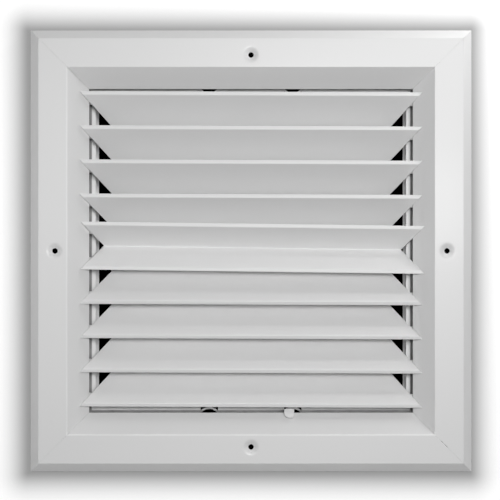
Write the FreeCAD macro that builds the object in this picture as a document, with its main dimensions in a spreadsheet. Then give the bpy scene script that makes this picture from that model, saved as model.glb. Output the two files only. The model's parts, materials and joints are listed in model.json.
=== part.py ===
"""Square louvred air grille with a shutter damper behind it, worked by a small lever.

The front is a mitred frame of extruded aluminium with nine fixed louvres: four above, a V in
the middle and four below, all screwed to the frame's neck. A folded sheet-steel damper sits in
the neck: eight upright shutters share one link bar, and the lever drives the bar.

Axes: +X right, +Y into the wall, +Z up. The origin is the middle of the wall plane, where the
flange's outer edge rests. Depths are measured back from the flat face of the flange.
"""
import FreeCAD, Part
import os
import Sketcher

Vector = FreeCAD.Vector
Y_AXIS = Vector(0, 1, 0)
Z_AXIS = Vector(0, 0, 1)

SIZES = [
    # flange and neck, one extruded section mitred at four corners
    ("face_width", 298.45, "outside of the square flange"),
    ("flange_rise", 6.0, "height of the flat face above the wall"),
    ("bevel_width", 6.5, "sloping outer edge, seen from the front"),
    ("slope_inset", 0.4, "inner edge of the flat, inside the outside of the neck"),
    ("slope_depth", 13.4, "depth of the inner slope, which is at 45 degrees"),
    ("frame_wall", 1.4, "wall of the frame section"),
    ("flange_overlap", 25.4, "how far the flange covers the wall beyond the neck"),
    ("neck_overlap", 11.5, "how far the neck reaches over the damper"),
    ("mitre_gap", 0.2, "open joint between two mitred ends"),
    ("screw_setback", 17.5, "fixing hole centre, in from the outside of the flange"),
    ("screw_hole", 3.7, "fixing hole for a No. 6 screw"),
    ("dimple_width", 10.4, "pressed seat for a countersunk head"),
    ("dimple_depth", 1.6, "depth of that seat"),
    # keys that hold the mitres
    ("key_setback", 15.6, "middle of the key channel, in from the outside of the flange"),
    ("key_width", 10.4, "width of a key's arm"),
    ("key_arm", 34.0, "length of a key's arm along its outside"),
    ("key_thickness", 2.2, "key plate"),
    ("key_fit", 0.05, "clearance round a key in its channel"),
    ("channel_wall", 1.2, "walls of the key channel"),
    ("channel_hook", 1.5, "lips that hold the key in"),
    ("hook_wall", 0.9, "thickness of those lips"),
    # louvres
    ("lip_plane", 5.9, "depth of the louvres' front lips"),
    ("lip_height", 2.4, "flat front lip of a louvre"),
    ("lip_set", 0.8, "outer edge of a single louvre's lip behind its inner edge"),
    ("louvre_wall", 1.2, "wall of the louvre section"),
    ("blade_reach", 20.6, "depth of a louvre behind its lip"),
    ("louvre_margin", 3.4, "outermost lip to the frame's inner lip"),
    ("centre_half", 16.2, "half the height of the V louvre"),
    ("centre_reach", 14.4, "depth of the V louvre behind its lips"),
    ("centre_step", 21.1, "lip of the V to the next louvre's lip"),
    ("set_raise", 1.0, "height of the whole set above the middle"),
    ("centre_raise", 1.15, "height of the V above its place in the set"),
    ("centre_shift", 1.0, "how far the V's blade stands to the right"),
    ("single_lean", 0.24, "fall of a single louvre to the right, degrees"),
    ("centre_lean", 0.74, "fall of the V louvre to the right, degrees"),
    ("end_gap", 1.7, "front of a louvre's end to the frame's slope, along X"),
    ("centre_end_gap", 1.3, "front of the V's end to the frame's slope, along X"),
    ("end_relief", 0.3, "back of any louvre's end to the frame's slope, along X"),
    ("boss_width", 4.6, "outside of a screw boss"),
    ("boss_bore", 2.9, "bore of a screw boss"),
    ("boss_drop", 6.0, "boss centre from the outer edge of the lip"),
    ("boss_depth", 17.5, "depth of the boss centres"),
    ("boss_end_gap", 0.25, "boss end to the neck"),
    # sheet-metal screws for the louvres and the damper
    ("screw_shank", 2.8, "shank of a screw"),
    ("screw_length", 12.0, "screw under its head"),
    ("screw_head", 5.6, "width of the pan head"),
    ("head_height", 1.6, "height of the pan head"),
    ("neck_hole", 3.2, "screw holes in the neck"),
    ("head_gap", 0.2, "head to the neck"),
    # damper case of folded sheet
    ("damper_clearance", 1.15, "back of the louvres to the damper"),
    ("damper_gap", 0.3, "damper case inside the neck"),
    ("damper_sheet", 0.9, "sheet of the case"),
    ("damper_flange", 15.7, "width of the rails' front flanges"),
    ("side_flange", 14.7, "width of the sides' front flanges"),
    ("damper_rear_flange", 13.6, "width of the case's rear flanges"),
    ("nest_gap", 0.1, "side channels inside the rails"),
    ("notch_spread", 28.9, "notches, each side of the middle"),
    ("notch_width", 12.0, "notch in the front flange"),
    ("notch_height", 6.6, "notch from the flange's edge"),
    ("arch_setback", 9.9, "arch centre from the flange's edge"),
    ("arch_radius", 7.0, "round hole under the arch"),
    ("arch_band", 1.3, "width of the arch"),
    ("arch_proud", 0.6, "how far the arch stands in front of the flange"),
    ("rivet_inset", 7.8, "corner rivets from the outside of the case"),
    ("rivet_shank", 3.1, "corner rivet"),
    ("rivet_head", 5.6, "corner rivet's head"),
    ("fixing_spread", 60.0, "damper screws above and below the middle"),
    # shutters
    ("shutter_overlap", 2.0, "how far closed shutters lap"),
    ("shutter_sheet", 0.8, "sheet of a shutter"),
    ("shutter_edge_gap", 0.3, "shutter edge to the case's flanges"),
    ("blade_offset", 3.2, "shutter blade to its pivot axis"),
    ("pin_width", 3.0, "pivot and crank pins"),
    ("run_fit", 0.05, "radial clearance of a running pin"),
    ("seat_fit", 0.02, "radial clearance of a riveted pin"),
    ("pin_head", 5.0, "heads and collars of the pins"),
    ("pin_shoulder", 4.4, "shoulder that carries a shutter"),
    ("head_thickness", 0.8, "heads of the pins"),
    ("pin_play", 0.1, "end play of the pins"),
    ("crank_foot", 0.7, "shoulder of a crank pin under the link bar"),
    ("bar_pin_foot", 0.6, "shoulder of the link bar's own pin"),
    ("top_gap", 0.5, "top tab to the rail"),
    ("tab_half", 5.0, "half the length of a shutter's end tab"),
    ("tab_shoulder", 2.5, "straight front of the lower tab, past the pivot's line"),
    ("tab_reach", 4.0, "end tab beyond the pivot axis"),
    ("crank_radius", 6.3, "crank pin from the pivot"),
    ("crank_edge", 3.4, "sheet left round the crank pin"),
    ("closing_angle", 84.0, "turn of a shutter from open to shut, degrees"),
    # linkage in the bottom rail, counted up from the rail's sheet
    ("lever_lift", 0.2, "lever above the rail"),
    ("lever_sheet", 1.2, "sheet of the lever"),
    ("bar_lift", 1.0, "link bar above the lever"),
    ("bar_sheet", 1.2, "sheet of the link bar"),
    ("tab_lift", 0.4, "shutter tabs above the link bar"),
    ("bar_width", 4.4, "width of the link bar"),
    ("bar_end", 5.0, "link bar beyond its last pin"),
    ("lever_setback", 4.5, "lever pivot behind the front of the case"),
    ("lever_width", 5.0, "strip of the lever"),
    ("lever_bend", 7.6, "strip of the lever turned left of straight ahead, degrees"),
    ("lever_disc", 8.4, "round of the lever at its pivot"),
    ("tab_width", 6.8, "finger tab of the lever"),
    ("tab_end_drop", 2.9, "tab end outside the frame's inner lip"),
    ("tab_gap", 2.5, "tab to the frame's slope"),
    ("tab_round", 4.0, "rounding of the tab's left corner"),
    ("tab_corner", 1.0, "rounding of the tab's right corner"),
    ("strip_gap", 1.6, "strip to the frame's inner lip"),
    ("strip_step", 0.4, "start of the strip's ramp in front of the lip's back"),
    ("fork_arm", 6.0, "arm of the lever that works the bar"),
    ("fork_width", 8.6, "fork at the arm's end"),
    ("fork_slot_gap", 0.25, "slot of the fork round its pin"),
    ("fork_root", 1.0, "solid behind the slot's deepest use"),
    ("fork_tip", 2.5, "fork beyond the pin"),
    ("lever_head", 6.0, "head of the lever's rivet"),
]
LOUVRES_PER_SIDE = 4
SHUTTERS = 8
ROOT_TWO = "sqrt(2)"
THROUGH = "4 * sizes.face_width"  # longer than any cut has to be

# Places worked out from the sizes, as expressions the document evaluates.
FACE_OUT = "sizes.face_width / 2"
FLAT_OUT = f"({FACE_OUT} - sizes.bevel_width)"
NECK_OUT = f"({FACE_OUT} - sizes.flange_overlap)"
FLAT_IN = f"({NECK_OUT} - sizes.slope_inset)"
LIP_IN = f"({FLAT_IN} - sizes.slope_depth)"
SLOPE_BACK = f"({FLAT_IN} + sizes.frame_wall * {ROOT_TWO})"
NECK_IN = f"({NECK_OUT} - sizes.frame_wall)"
BEVEL_BACK = ("(sizes.frame_wall * sqrt(sizes.bevel_width ^ 2 + sizes.flange_rise ^ 2)"
              " / sizes.flange_rise)")
SCREW_LINE = f"({FACE_OUT} - sizes.screw_setback)"
KEY_LINE = f"({FACE_OUT} - sizes.key_setback)"
LOUVRE_BACK = f"(sizes.lip_plane + sizes.blade_reach + sizes.louvre_wall / {ROOT_TWO})"
LOUVRE_PITCH = (f"(({LIP_IN} - sizes.louvre_margin - sizes.centre_half - sizes.centre_step)"
                f" / {LOUVRES_PER_SIDE - 1})")
DAMPER_FRONT = f"({LOUVRE_BACK} + sizes.damper_clearance)"
NECK_END = f"({DAMPER_FRONT} + sizes.neck_overlap)"
DAMPER_OUT = f"({NECK_IN} - sizes.damper_gap)"
WEB_IN = f"({DAMPER_OUT} - sizes.damper_sheet)"
FLANGE_IN = f"({DAMPER_OUT} - sizes.damper_flange)"
SIDE_IN = f"({DAMPER_OUT} - sizes.side_flange)"
REAR_IN = f"({DAMPER_OUT} - sizes.damper_rear_flange)"
SHUTTER_PITCH = f"(2 * {FLANGE_IN} / {SHUTTERS})"
SHUTTER_WIDTH = f"({SHUTTER_PITCH} + sizes.shutter_overlap)"
# The blade stands beside its pivot, so its corners swing wider than half its width.
SHUTTER_SWING = (f"sqrt(({SHUTTER_WIDTH} / 2) ^ 2"
                 " + (sizes.blade_offset + sizes.shutter_sheet / 2) ^ 2)")
DAMPER_DEPTH = f"(2 * ({SHUTTER_SWING} + sizes.damper_sheet + sizes.shutter_edge_gap))"
DAMPER_BACK = f"({DAMPER_FRONT} + {DAMPER_DEPTH})"
PIVOT_DEPTH = f"({DAMPER_FRONT} + {DAMPER_DEPTH} / 2)"
FIXING_DEPTH = f"({DAMPER_FRONT} + sizes.neck_overlap / 2)"
ARCH_LINE = f"({FLANGE_IN} + sizes.arch_setback)"
RIVET_LINE = f"({DAMPER_OUT} - sizes.rivet_inset)"
# The crank swings evenly to both sides of straight back, so the bar hardly rises and falls.
CRANK_X = "(sizes.crank_radius * sin(sizes.closing_angle / 2))"
CRANK_Y = "(sizes.crank_radius * cos(sizes.closing_angle / 2))"
LEVER_DEPTH = f"({DAMPER_FRONT} + sizes.lever_setback)"
FORK_LEAN = f"(atan({CRANK_X} / ({PIVOT_DEPTH} - {LEVER_DEPTH} + {CRANK_Y})) / 1 deg)"
# Heights below the middle in the bottom rail.
LEVER_LOW = f"({WEB_IN} - sizes.lever_lift)"
LEVER_HIGH = f"({LEVER_LOW} - sizes.lever_sheet)"
BAR_LOW = f"({LEVER_HIGH} - sizes.bar_lift)"
BAR_HIGH = f"({BAR_LOW} - sizes.bar_sheet)"
TAB_LOW = f"({BAR_HIGH} - sizes.tab_lift)"
TAB_HIGH = f"({TAB_LOW} - sizes.shutter_sheet)"
TOP_TAB = f"({WEB_IN} - sizes.top_gap)"

document = FreeCAD.newDocument("air_grille")
nodes = []


def make_sheet():
    """Put every driving size in the sheet, one alias each."""
    sheet = document.addObject("Spreadsheet::Sheet", "sizes")
    for row, (alias, number, note) in enumerate(SIZES, start=1):
        sheet.set(f"A{row}", alias)
        sheet.set(f"B{row}", str(number))
        sheet.setAlias(f"B{row}", alias)
        sheet.set(f"C{row}", note)
    document.recompute()
    return sheet


sheet = make_sheet()


def value(expression):
    """The number an expression stands for."""
    return float(sheet.evalExpression(str(expression)))


def back(depth):
    """Y of a depth behind the flat face."""
    return f"({depth} - sizes.flange_rise)"


def new_body(name):
    """An empty body that will be written as one node."""
    body = document.addObject("PartDesign::Body", name)
    body.Label = name
    return body


def new_sketch(body, name, role, offset="0", slide="0", turn="0"):
    """A sketch on one of the body's own planes, moved along its normal by offset."""
    sketch = body.newObject("Sketcher::SketchObject", f"{body.Name}_{name}")
    plane = next(item for item in body.Origin.OriginFeatures if item.Role == role)
    sketch.AttachmentSupport = (plane, [""])
    sketch.MapMode = "FlatFace"
    sketch.AttachmentOffset = FreeCAD.Placement(
        Vector(0, value(slide), value(offset)), FreeCAD.Rotation(Z_AXIS, value(turn)))
    sketch.setExpression("AttachmentOffset.Base.y", slide)
    sketch.setExpression("AttachmentOffset.Base.z", offset)
    return sketch


def place_point(sketch, geometry, point, across, up):
    """Hold a point of the sketch at two signed distances from the sketch's origin."""
    for kind, expression in (("DistanceX", across), ("DistanceY", up)):
        index = sketch.addConstraint(
            Sketcher.Constraint(kind, -1, 1, geometry, point, value(expression)))
        sketch.setExpression(f"Constraints[{index}]", str(expression))


def add_outline(sketch, points):
    """A closed outline of straight sides through points given as pairs of expressions."""
    start = sketch.GeometryCount
    corners = [Vector(value(across), value(up), 0) for across, up in points]
    count = len(corners)
    for index, corner in enumerate(corners):
        sketch.addGeometry(Part.LineSegment(corner, corners[(index + 1) % count]))
    for index, (across, up) in enumerate(points):
        following = start + (index + 1) % count
        sketch.addConstraint(Sketcher.Constraint("Coincident", start + index, 2, following, 1))
        place_point(sketch, start + index, 1, across, up)


def add_circle(sketch, across, up, radius):
    """A circle by its centre and radius, given as expressions."""
    centre = Vector(value(across), value(up), 0)
    index = sketch.addGeometry(Part.Circle(centre, Z_AXIS, value(radius)))
    place_point(sketch, index, 3, across, up)
    held = sketch.addConstraint(Sketcher.Constraint("Radius", index, value(radius)))
    sketch.setExpression(f"Constraints[{held}]", str(radius))


def add_pad(body, sketch, length, symmetric=False):
    """Thicken a sketch into solid material."""
    pad = body.newObject("PartDesign::Pad", f"{sketch.Name}_pad")
    pad.Profile = sketch
    pad.setExpression("Length", str(length))
    pad.SideType = "Symmetric" if symmetric else "One side"
    sketch.Visibility = False


def add_pocket(body, sketch, length, symmetric=False, downward=False):
    """Cut a sketch's shape out, and check that something was cut."""
    document.recompute()
    before = body.Shape.Volume
    pocket = body.newObject("PartDesign::Pocket", f"{sketch.Name}_cut")
    pocket.Profile = sketch
    pocket.setExpression("Length", str(length))
    pocket.SideType = "Symmetric" if symmetric else "One side"
    pocket.Reversed = downward
    sketch.Visibility = False
    document.recompute()
    if not body.Shape.Volume < before:
        raise RuntimeError(f"{pocket.Name} cut nothing")


def keep(feature):
    """List an object as a node of the part."""
    nodes.append(feature)


def group(name, shapes):
    """One node of several alike solids, each already in its place."""
    feature = document.addObject("Part::Feature", name)
    feature.Label = name
    feature.Shape = Part.makeCompound(shapes)
    keep(feature)


def placed(shape, placement):
    """A copy of a shape moved by a placement."""
    copy = shape.copy()
    copy.Placement = placement.multiply(copy.Placement)
    return copy


def turned_about_y(degrees, height=0.0):
    """A placement that turns about Y and then lifts."""
    return FreeCAD.Placement(Vector(0, 0, height), FreeCAD.Rotation(Y_AXIS, degrees))


# ---------------------------------------------------------------- frame

def frame_outline():
    """Section of the flange, slope and neck: pairs of Y and distance from the middle."""
    wall = "sizes.frame_wall"
    rise = "sizes.flange_rise"
    lip_back = f"{wall} / {ROOT_TWO}"
    bevel_foot = f"({FACE_OUT} - {BEVEL_BACK})"
    bevel_turn = f"{bevel_foot} - ({rise} - {wall}) * sizes.bevel_width / {rise}"
    return [
        (back(rise), FACE_OUT),
        (back("0"), FLAT_OUT),
        (back("0"), FLAT_IN),
        (back("sizes.slope_depth"), LIP_IN),
        (back(f"sizes.slope_depth + {lip_back}"), f"{LIP_IN} + {lip_back}"),
        (back(f"{SLOPE_BACK} - {NECK_IN}"), NECK_IN),
        (back(NECK_END), NECK_IN),
        (back(NECK_END), NECK_OUT),
        (back(wall), NECK_OUT),
        (back(wall), bevel_turn),
        (back(rise), bevel_foot),
    ]


def add_key_channel(body):
    """Two hooked ribs behind the flat that hold the corner keys."""
    sketch = new_sketch(body, "channel", "YZ_Plane")
    root = back("sizes.frame_wall / 2")
    hook = back("sizes.frame_wall + sizes.key_thickness + 2 * sizes.key_fit")
    end = back("sizes.frame_wall + sizes.key_thickness + 2 * sizes.key_fit"
               " + sizes.hook_wall")
    half = "(sizes.key_width / 2 + sizes.key_fit)"
    for side in ("-", "+"):
        opposite = "+" if side == "-" else "-"
        inner = f"{KEY_LINE} {side} {half}"
        outer = f"{inner} {side} sizes.channel_wall"
        tip = f"{inner} {opposite} sizes.channel_hook"
        add_outline(sketch, [(root, outer), (root, inner), (hook, inner), (hook, tip),
                             (end, tip), (end, outer)])
    add_pad(body, sketch, "sizes.face_width", symmetric=True)


def add_mitres(body):
    """Cut both ends at 45 degrees, each short of the corner's diagonal by half the gap."""
    sketch = new_sketch(body, "mitres", "XZ_Plane")
    near = f"({LIP_IN} / 2)"
    far = f"({FACE_OUT} + {LIP_IN} / 2)"
    short = f"sizes.mitre_gap / {ROOT_TWO}"
    for sign in ("", "-"):
        add_outline(sketch, [(f"{sign}({near} - {short})", near),
                             (f"{sign}({far} - {short})", far),
                             (f"{sign}({far} + {near})", near)])
    add_pocket(body, sketch, THROUGH, symmetric=True)


def add_fixing_hole(body):
    """A pressed, dished screw hole in the middle of the flat."""
    wall = "sizes.frame_wall"
    hole = "sizes.screw_hole / 2"
    dish = "sizes.dimple_width / 2"
    floor = f"(sizes.dimple_depth + {wall})"
    boss = new_sketch(body, "dimple", "YZ_Plane", slide=SCREW_LINE)
    add_outline(boss, [(back(f"{wall} / 2"), "0"), (back(f"{wall} / 2"), dish),
                       (back(wall), dish), (back(floor), f"{hole} + {wall}"),
                       (back(floor), "0")])
    revolution = body.newObject("PartDesign::Revolution", f"{body.Name}_dimple_back")
    revolution.Profile = boss
    revolution.ReferenceAxis = (boss, ["H_Axis"])
    revolution.Angle = 360
    document.recompute()
    before = body.Shape.Volume
    seat = new_sketch(body, "seat", "YZ_Plane", slide=SCREW_LINE)
    ahead = back(f"(0 - {wall})")
    add_outline(seat, [(ahead, "0"), (ahead, dish), (back("0"), dish),
                       (back("sizes.dimple_depth"), hole), (back(f"{floor} + {wall}"), hole),
                       (back(f"{floor} + {wall}"), "0")])
    groove = body.newObject("PartDesign::Groove", f"{body.Name}_dimple_seat")
    groove.Profile = seat
    groove.ReferenceAxis = (seat, ["H_Axis"])
    groove.Angle = 360
    document.recompute()
    if not body.Shape.Volume < before:
        raise RuntimeError(f"{body.Name}: the screw hole cut nothing")


def make_frame_member(name, turn, neck_holes=()):
    """One side of the frame, built as the top one and turned about Y."""
    body = new_body(name)
    profile = new_sketch(body, "section", "YZ_Plane")
    add_outline(profile, frame_outline())
    add_pad(body, profile, "sizes.face_width", symmetric=True)
    add_key_channel(body)
    add_mitres(body)
    add_fixing_hole(body)
    if neck_holes:
        holes = new_sketch(body, "neck_holes", "XY_Plane")
        for along, depth in neck_holes:
            add_circle(holes, along, back(depth), "sizes.neck_hole / 2")
        add_pocket(body, holes, f"{FACE_OUT}", downward=True)
    body.Placement = turned_about_y(turn)
    keep(body)


def make_corner_key(name, turn):
    """An L of flat plate that fills the two channels at one corner."""
    body = new_body(name)
    outer = f"({KEY_LINE} + sizes.key_width / 2)"
    inner = f"({KEY_LINE} - sizes.key_width / 2)"
    arm = f"({outer} - sizes.key_arm)"
    rear = back("(sizes.frame_wall + sizes.key_thickness)")
    sketch = new_sketch(body, "plate", "XZ_Plane", offset=f"0 - {rear}")
    add_outline(sketch, [(arm, inner), (inner, inner), (inner, arm), (outer, arm),
                         (outer, outer), (arm, outer)])
    add_pad(body, sketch, "sizes.key_thickness")
    body.Placement = turned_about_y(turn)
    keep(body)


# ---------------------------------------------------------------- louvres

LOUVRE_TIP = f"({FLAT_IN} - sizes.end_gap - sizes.lip_plane)"
CENTRE_TIP = f"({FLAT_IN} - sizes.centre_end_gap - sizes.lip_plane)"


def add_end_cuts(body, corners, shift="0"):
    """Cut both ends along lines between corners seen from the front, and clear the slope.

    The corners are pairs of distance from the middle and height, from the top down.
    """
    sketch = new_sketch(body, "ends", "XZ_Plane")
    relief = new_sketch(body, "end_relief", "XY_Plane")
    wide = f"({FACE_OUT} + {LOUVRE_BACK})"
    near = f"({FLAT_IN} - sizes.end_relief - {shift})"
    for sign in ("", "0 - "):
        cut = [(f"{shift} + ({sign}{across})", up) for across, up in corners]
        add_outline(sketch, cut + [(f"{sign}{wide}", corners[-1][1]),
                                   (f"{sign}{wide}", corners[0][1])])
        add_outline(relief, [
            (f"{shift} + ({sign}{near})", back("0")),
            (f"{shift} + ({sign}({near} - sizes.slope_depth))", back("sizes.slope_depth")),
            (f"{sign}{wide}", back("sizes.slope_depth")), (f"{sign}{wide}", back("0"))])
    add_pocket(body, sketch, THROUGH, symmetric=True)
    add_pocket(body, relief, THROUGH, symmetric=True)


def add_boss(body, name, height, bridge, length):
    """A bored screw boss along the louvre, bridged to the blade's back."""
    across = back("sizes.boss_depth")
    web = new_sketch(body, f"{name}_web", "YZ_Plane")
    add_outline(web, bridge)
    add_pad(body, web, f"{FACE_OUT}", symmetric=True)
    boss = new_sketch(body, name, "YZ_Plane")
    add_circle(boss, across, height, "sizes.boss_width / 2")
    add_pad(body, boss, length, symmetric=True)
    bore = new_sketch(body, f"{name}_bore", "YZ_Plane")
    add_circle(bore, across, height, "sizes.boss_bore / 2")
    add_pocket(body, bore, f"{length} + sizes.boss_width", symmetric=True)


BOSS_LENGTH = f"(2 * ({NECK_IN} - sizes.boss_end_gap))"


def make_single_louvre(name, placement):
    """One blade: a flat lip, a 45 degree face and a screw boss behind it."""
    body = new_body(name)
    wall = "sizes.louvre_wall"
    lip = "sizes.lip_plane"
    face = f"(sizes.lip_height - {lip})"
    rear = f"({face} - {wall} * {ROOT_TWO})"
    edge = "(sizes.lip_height + sizes.blade_reach)"
    tail = f"{lip} + sizes.blade_reach"
    profile = new_sketch(body, "section", "YZ_Plane")
    add_outline(profile, [
        (back(f"{lip} + sizes.lip_set"), "0"),
        (back(lip), "0 - sizes.lip_height"),
        (back(tail), f"0 - {edge}"),
        (back(f"{tail} + {wall} / {ROOT_TWO}"), f"{wall} / {ROOT_TWO} - {edge}"),
        (back(f"{lip} + {wall}"), f"0 - ({rear} + {lip} + {wall})"),
        (back(f"{lip} + sizes.lip_set + {wall}"), "0"),
    ])
    add_pad(body, profile, "sizes.face_width", symmetric=True)
    # From the lip's outer edge the ends taper to the tail, and a margin beyond both.
    taper = f"(sizes.blade_reach / {edge})"
    margin = "sizes.lip_height"
    add_end_cuts(body, [
        (f"({LOUVRE_TIP} + {taper} * {margin})", margin),
        (f"({LOUVRE_TIP} - {taper} * ({edge} + {margin}))", f"0 - ({edge} + {margin})")])
    # The web runs square to the face, from the boss centre to inside the blade.
    reach = f"((sizes.boss_depth - sizes.boss_drop + {face}) / 2 - {wall} / 4)"
    half = f"{wall} / 2 / {ROOT_TWO}"
    centre_y = "sizes.boss_depth"
    centre_z = "(0 - sizes.boss_drop)"
    add_boss(body, "boss", centre_z, [
        (back(f"{centre_y} - {half}"), f"{centre_z} + {half}"),
        (back(f"{centre_y} + {half}"), f"{centre_z} - {half}"),
        (back(f"{centre_y} - {reach} + {half}"), f"{centre_z} - {reach} - {half}"),
        (back(f"{centre_y} - {reach} - {half}"), f"{centre_z} - {reach} + {half}"),
    ], BOSS_LENGTH)
    body.Placement = placement
    keep(body)


def make_centre_louvre(name, placement):
    """The V: two faces that meet at the back, each with its lip and boss."""
    body = new_body(name)
    wall = "sizes.louvre_wall"
    lip = "sizes.lip_plane"
    top = "sizes.centre_half"
    turn = f"({top} - sizes.lip_height)"
    vertex = f"({lip} + sizes.centre_reach)"
    slant = f"sqrt({turn} ^ 2 + sizes.centre_reach ^ 2)"
    behind = f"({wall} * {slant} / {turn})"
    above = f"({wall} * {slant} / sizes.centre_reach)"
    rear_turn = f"({turn} + {above} - {wall} * {turn} / sizes.centre_reach)"
    profile = new_sketch(body, "section", "YZ_Plane")
    upper = [(back(vertex), "0"), (back(lip), turn), (back(lip), top),
             (back(f"{lip} + {wall}"), top), (back(f"{lip} + {wall}"), rear_turn)]
    lower = [(across, f"0 - {up}") for across, up in reversed(upper[1:])]
    add_outline(profile, upper + [(back(f"{vertex} + {behind}"), "0")] + lower)
    add_pad(body, profile, "sizes.face_width", symmetric=True)
    margin = "sizes.lip_height"
    outer = f"({CENTRE_TIP} + sizes.centre_reach / {top} * {margin})"
    add_end_cuts(body, [
        (outer, f"({top} + {margin})"),
        (f"({CENTRE_TIP} - sizes.centre_reach)", "0"),
        (outer, f"0 - ({top} + {margin})")], "sizes.centre_shift")
    boss_z = f"({top} - sizes.boss_drop)"
    reach_y = f"({turn} / {slant})"
    reach_z = f"(sizes.centre_reach / {slant})"
    face_z = f"({turn} * ({vertex} - sizes.boss_depth) / sizes.centre_reach)"
    reach = f"(({boss_z} - {face_z}) * {reach_z} - {wall} / 2)"
    half = f"{wall} / 2"
    for label, sign in (("upper_boss", ""), ("lower_boss", "0 - ")):
        corners = []
        for along, side in (("0", "+"), ("0", "-"), (reach, "-"), (reach, "+")):
            across = f"sizes.boss_depth - {along} * {reach_y}"
            up = f"{boss_z} - {along} * {reach_z}"
            other = "-" if side == "+" else "+"
            corners.append((back(f"({across} {other} {half} * {reach_z})"),
                            f"{sign}({up} {side} {half} * {reach_y})"))
        add_boss(body, label, f"{sign}{boss_z}", corners, BOSS_LENGTH)
    body.Placement = placement
    keep(body)


def louvre_places():
    """Name, placement and boss heights of each louvre, from the top down."""
    lean = value("sizes.single_lean")
    lift = value("sizes.set_raise")
    first = value("sizes.centre_half + sizes.centre_step")
    pitch = value(LOUVRE_PITCH)
    drop = value("sizes.boss_drop")
    places = []
    for index in range(LOUVRES_PER_SIDE):
        height = first + pitch * (LOUVRES_PER_SIDE - 1 - index)
        places.append((f"louvre_{index + 1}", turned_about_y(lean, lift + height), [-drop]))
    centre = value("sizes.centre_half") - drop
    centre_place = turned_about_y(value("sizes.centre_lean"), lift + value("sizes.centre_raise"))
    places.append(("centre_louvre", centre_place, [centre, -centre]))
    for index in range(LOUVRES_PER_SIDE):
        height = first + pitch * index
        number = LOUVRES_PER_SIDE + index + 1
        places.append((f"louvre_{number}", turned_about_y(180 + lean, lift - height), [-drop]))
    return places


def boss_line(placement, height):
    """World height of a boss where it meets the left and the right of the neck."""
    start = placement.multVec(Vector(0, 0, height))
    along = placement.Rotation.multVec(Vector(1, 0, 0))
    rise = along.z / along.x
    wall = value(NECK_IN)
    return [start.z + rise * (side * wall - start.x) for side in (-1, 1)]


# ---------------------------------------------------------------- fasteners

def make_turned(name, steps):
    """A headed pin or screw as a body of revolution about Z; steps are height and radius."""
    body = new_body(name)
    sketch = new_sketch(body, "half", "XZ_Plane")
    points = [("0", steps[0][0])]
    for low, high, radius in steps:
        points.append((radius, low))
        points.append((radius, high))
    points.append(("0", steps[-1][1]))
    add_outline(sketch, points)
    revolution = body.newObject("PartDesign::Revolution", f"{name}_turned")
    revolution.Profile = sketch
    revolution.ReferenceAxis = (sketch, ["V_Axis"])
    revolution.Angle = 360
    document.recompute()
    return body


def make_louvre_screws(places, screw):
    """Two screws for each boss, through the neck from outside."""
    outside = value(f"{NECK_OUT} + sizes.head_gap")
    depth = value(back("sizes.boss_depth"))
    shapes = []
    for _name, placement, heights in places:
        for height in heights:
            for side in (-1, 1):
                seat = FreeCAD.Placement(Vector(side * outside, depth, height),
                                         FreeCAD.Rotation(Y_AXIS, side * 90))
                shapes.append(placed(screw, placement.multiply(seat)))
    group("louvre_screws", shapes)


def make_damper_screws(screw):
    """Screws that hold the damper's sides in the neck."""
    outside = value(f"{NECK_OUT} + sizes.head_gap")
    depth = value(back(FIXING_DEPTH))
    spread = value("sizes.fixing_spread")
    shapes = []
    for side in (-1, 1):
        for height in (-spread, spread):
            seat = FreeCAD.Placement(Vector(side * outside, depth, height),
                                     FreeCAD.Rotation(Y_AXIS, side * 90))
            shapes.append(placed(screw, seat))
    group("damper_screws", shapes)


def make_corner_rivets(rivet):
    """Front and back rivets that join the rails to the side channels."""
    line = value(RIVET_LINE)
    shapes = []
    for depth, turn in ((DAMPER_FRONT, 90), (DAMPER_BACK, -90)):
        for across in (-line, line):
            for up in (-line, line):
                seat = FreeCAD.Placement(Vector(across, value(back(depth)), up),
                                         FreeCAD.Rotation(Vector(1, 0, 0), turn))
                shapes.append(placed(rivet, seat))
    group("damper_corner_rivets", shapes)


# ---------------------------------------------------------------- damper case

def shutter_positions():
    """X of the shutter pivots, left to right."""
    pitch = value(SHUTTER_PITCH)
    return [pitch * (index - (SHUTTERS - 1) / 2) for index in range(SHUTTERS)]


def add_notches(body):
    """Two notches in the front flange, each bridged by a raised arch over a round hole."""
    front = back(DAMPER_FRONT)
    edge = f"({FLANGE_IN} - sizes.arch_band)"
    top = f"({FLANGE_IN} + sizes.notch_height)"
    half = "sizes.notch_width / 2"
    outer = "(sizes.arch_radius + sizes.arch_band)"
    behind = f"({front} + sizes.damper_sheet)"
    slots = new_sketch(body, "notches", "XZ_Plane", offset=f"0 - {behind}")
    arches = new_sketch(body, "arches", "XZ_Plane", offset=f"0 - {behind}")
    holes = new_sketch(body, "arch_holes", "XZ_Plane", offset=f"0 - {behind}")
    for sign in ("0 - ", ""):
        middle = f"({sign}sizes.notch_spread)"
        add_outline(slots, [(f"{middle} - {half}", edge), (f"{middle} + {half}", edge),
                            (f"{middle} + {half}", top), (f"{middle} - {half}", top)])
        add_circle(arches, middle, ARCH_LINE, outer)
        add_circle(holes, middle, ARCH_LINE, "sizes.arch_radius")
    add_pocket(body, slots, "2 * sizes.damper_sheet", symmetric=True)
    add_pad(body, arches, "sizes.damper_sheet + sizes.arch_proud")
    add_pocket(body, holes, THROUGH, symmetric=True)
    # The arch's foot is trimmed level with the outside of the rail.
    trim = new_sketch(body, "arch_trim", "XZ_Plane")
    wide = "2 * sizes.notch_spread"
    add_outline(trim, [(f"0 - {wide}", DAMPER_OUT), (wide, DAMPER_OUT),
                       (wide, f"{ARCH_LINE} + 2 * {outer}"),
                       (f"0 - {wide}", f"{ARCH_LINE} + 2 * {outer}")])
    add_pocket(body, trim, THROUGH, symmetric=True)


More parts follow.
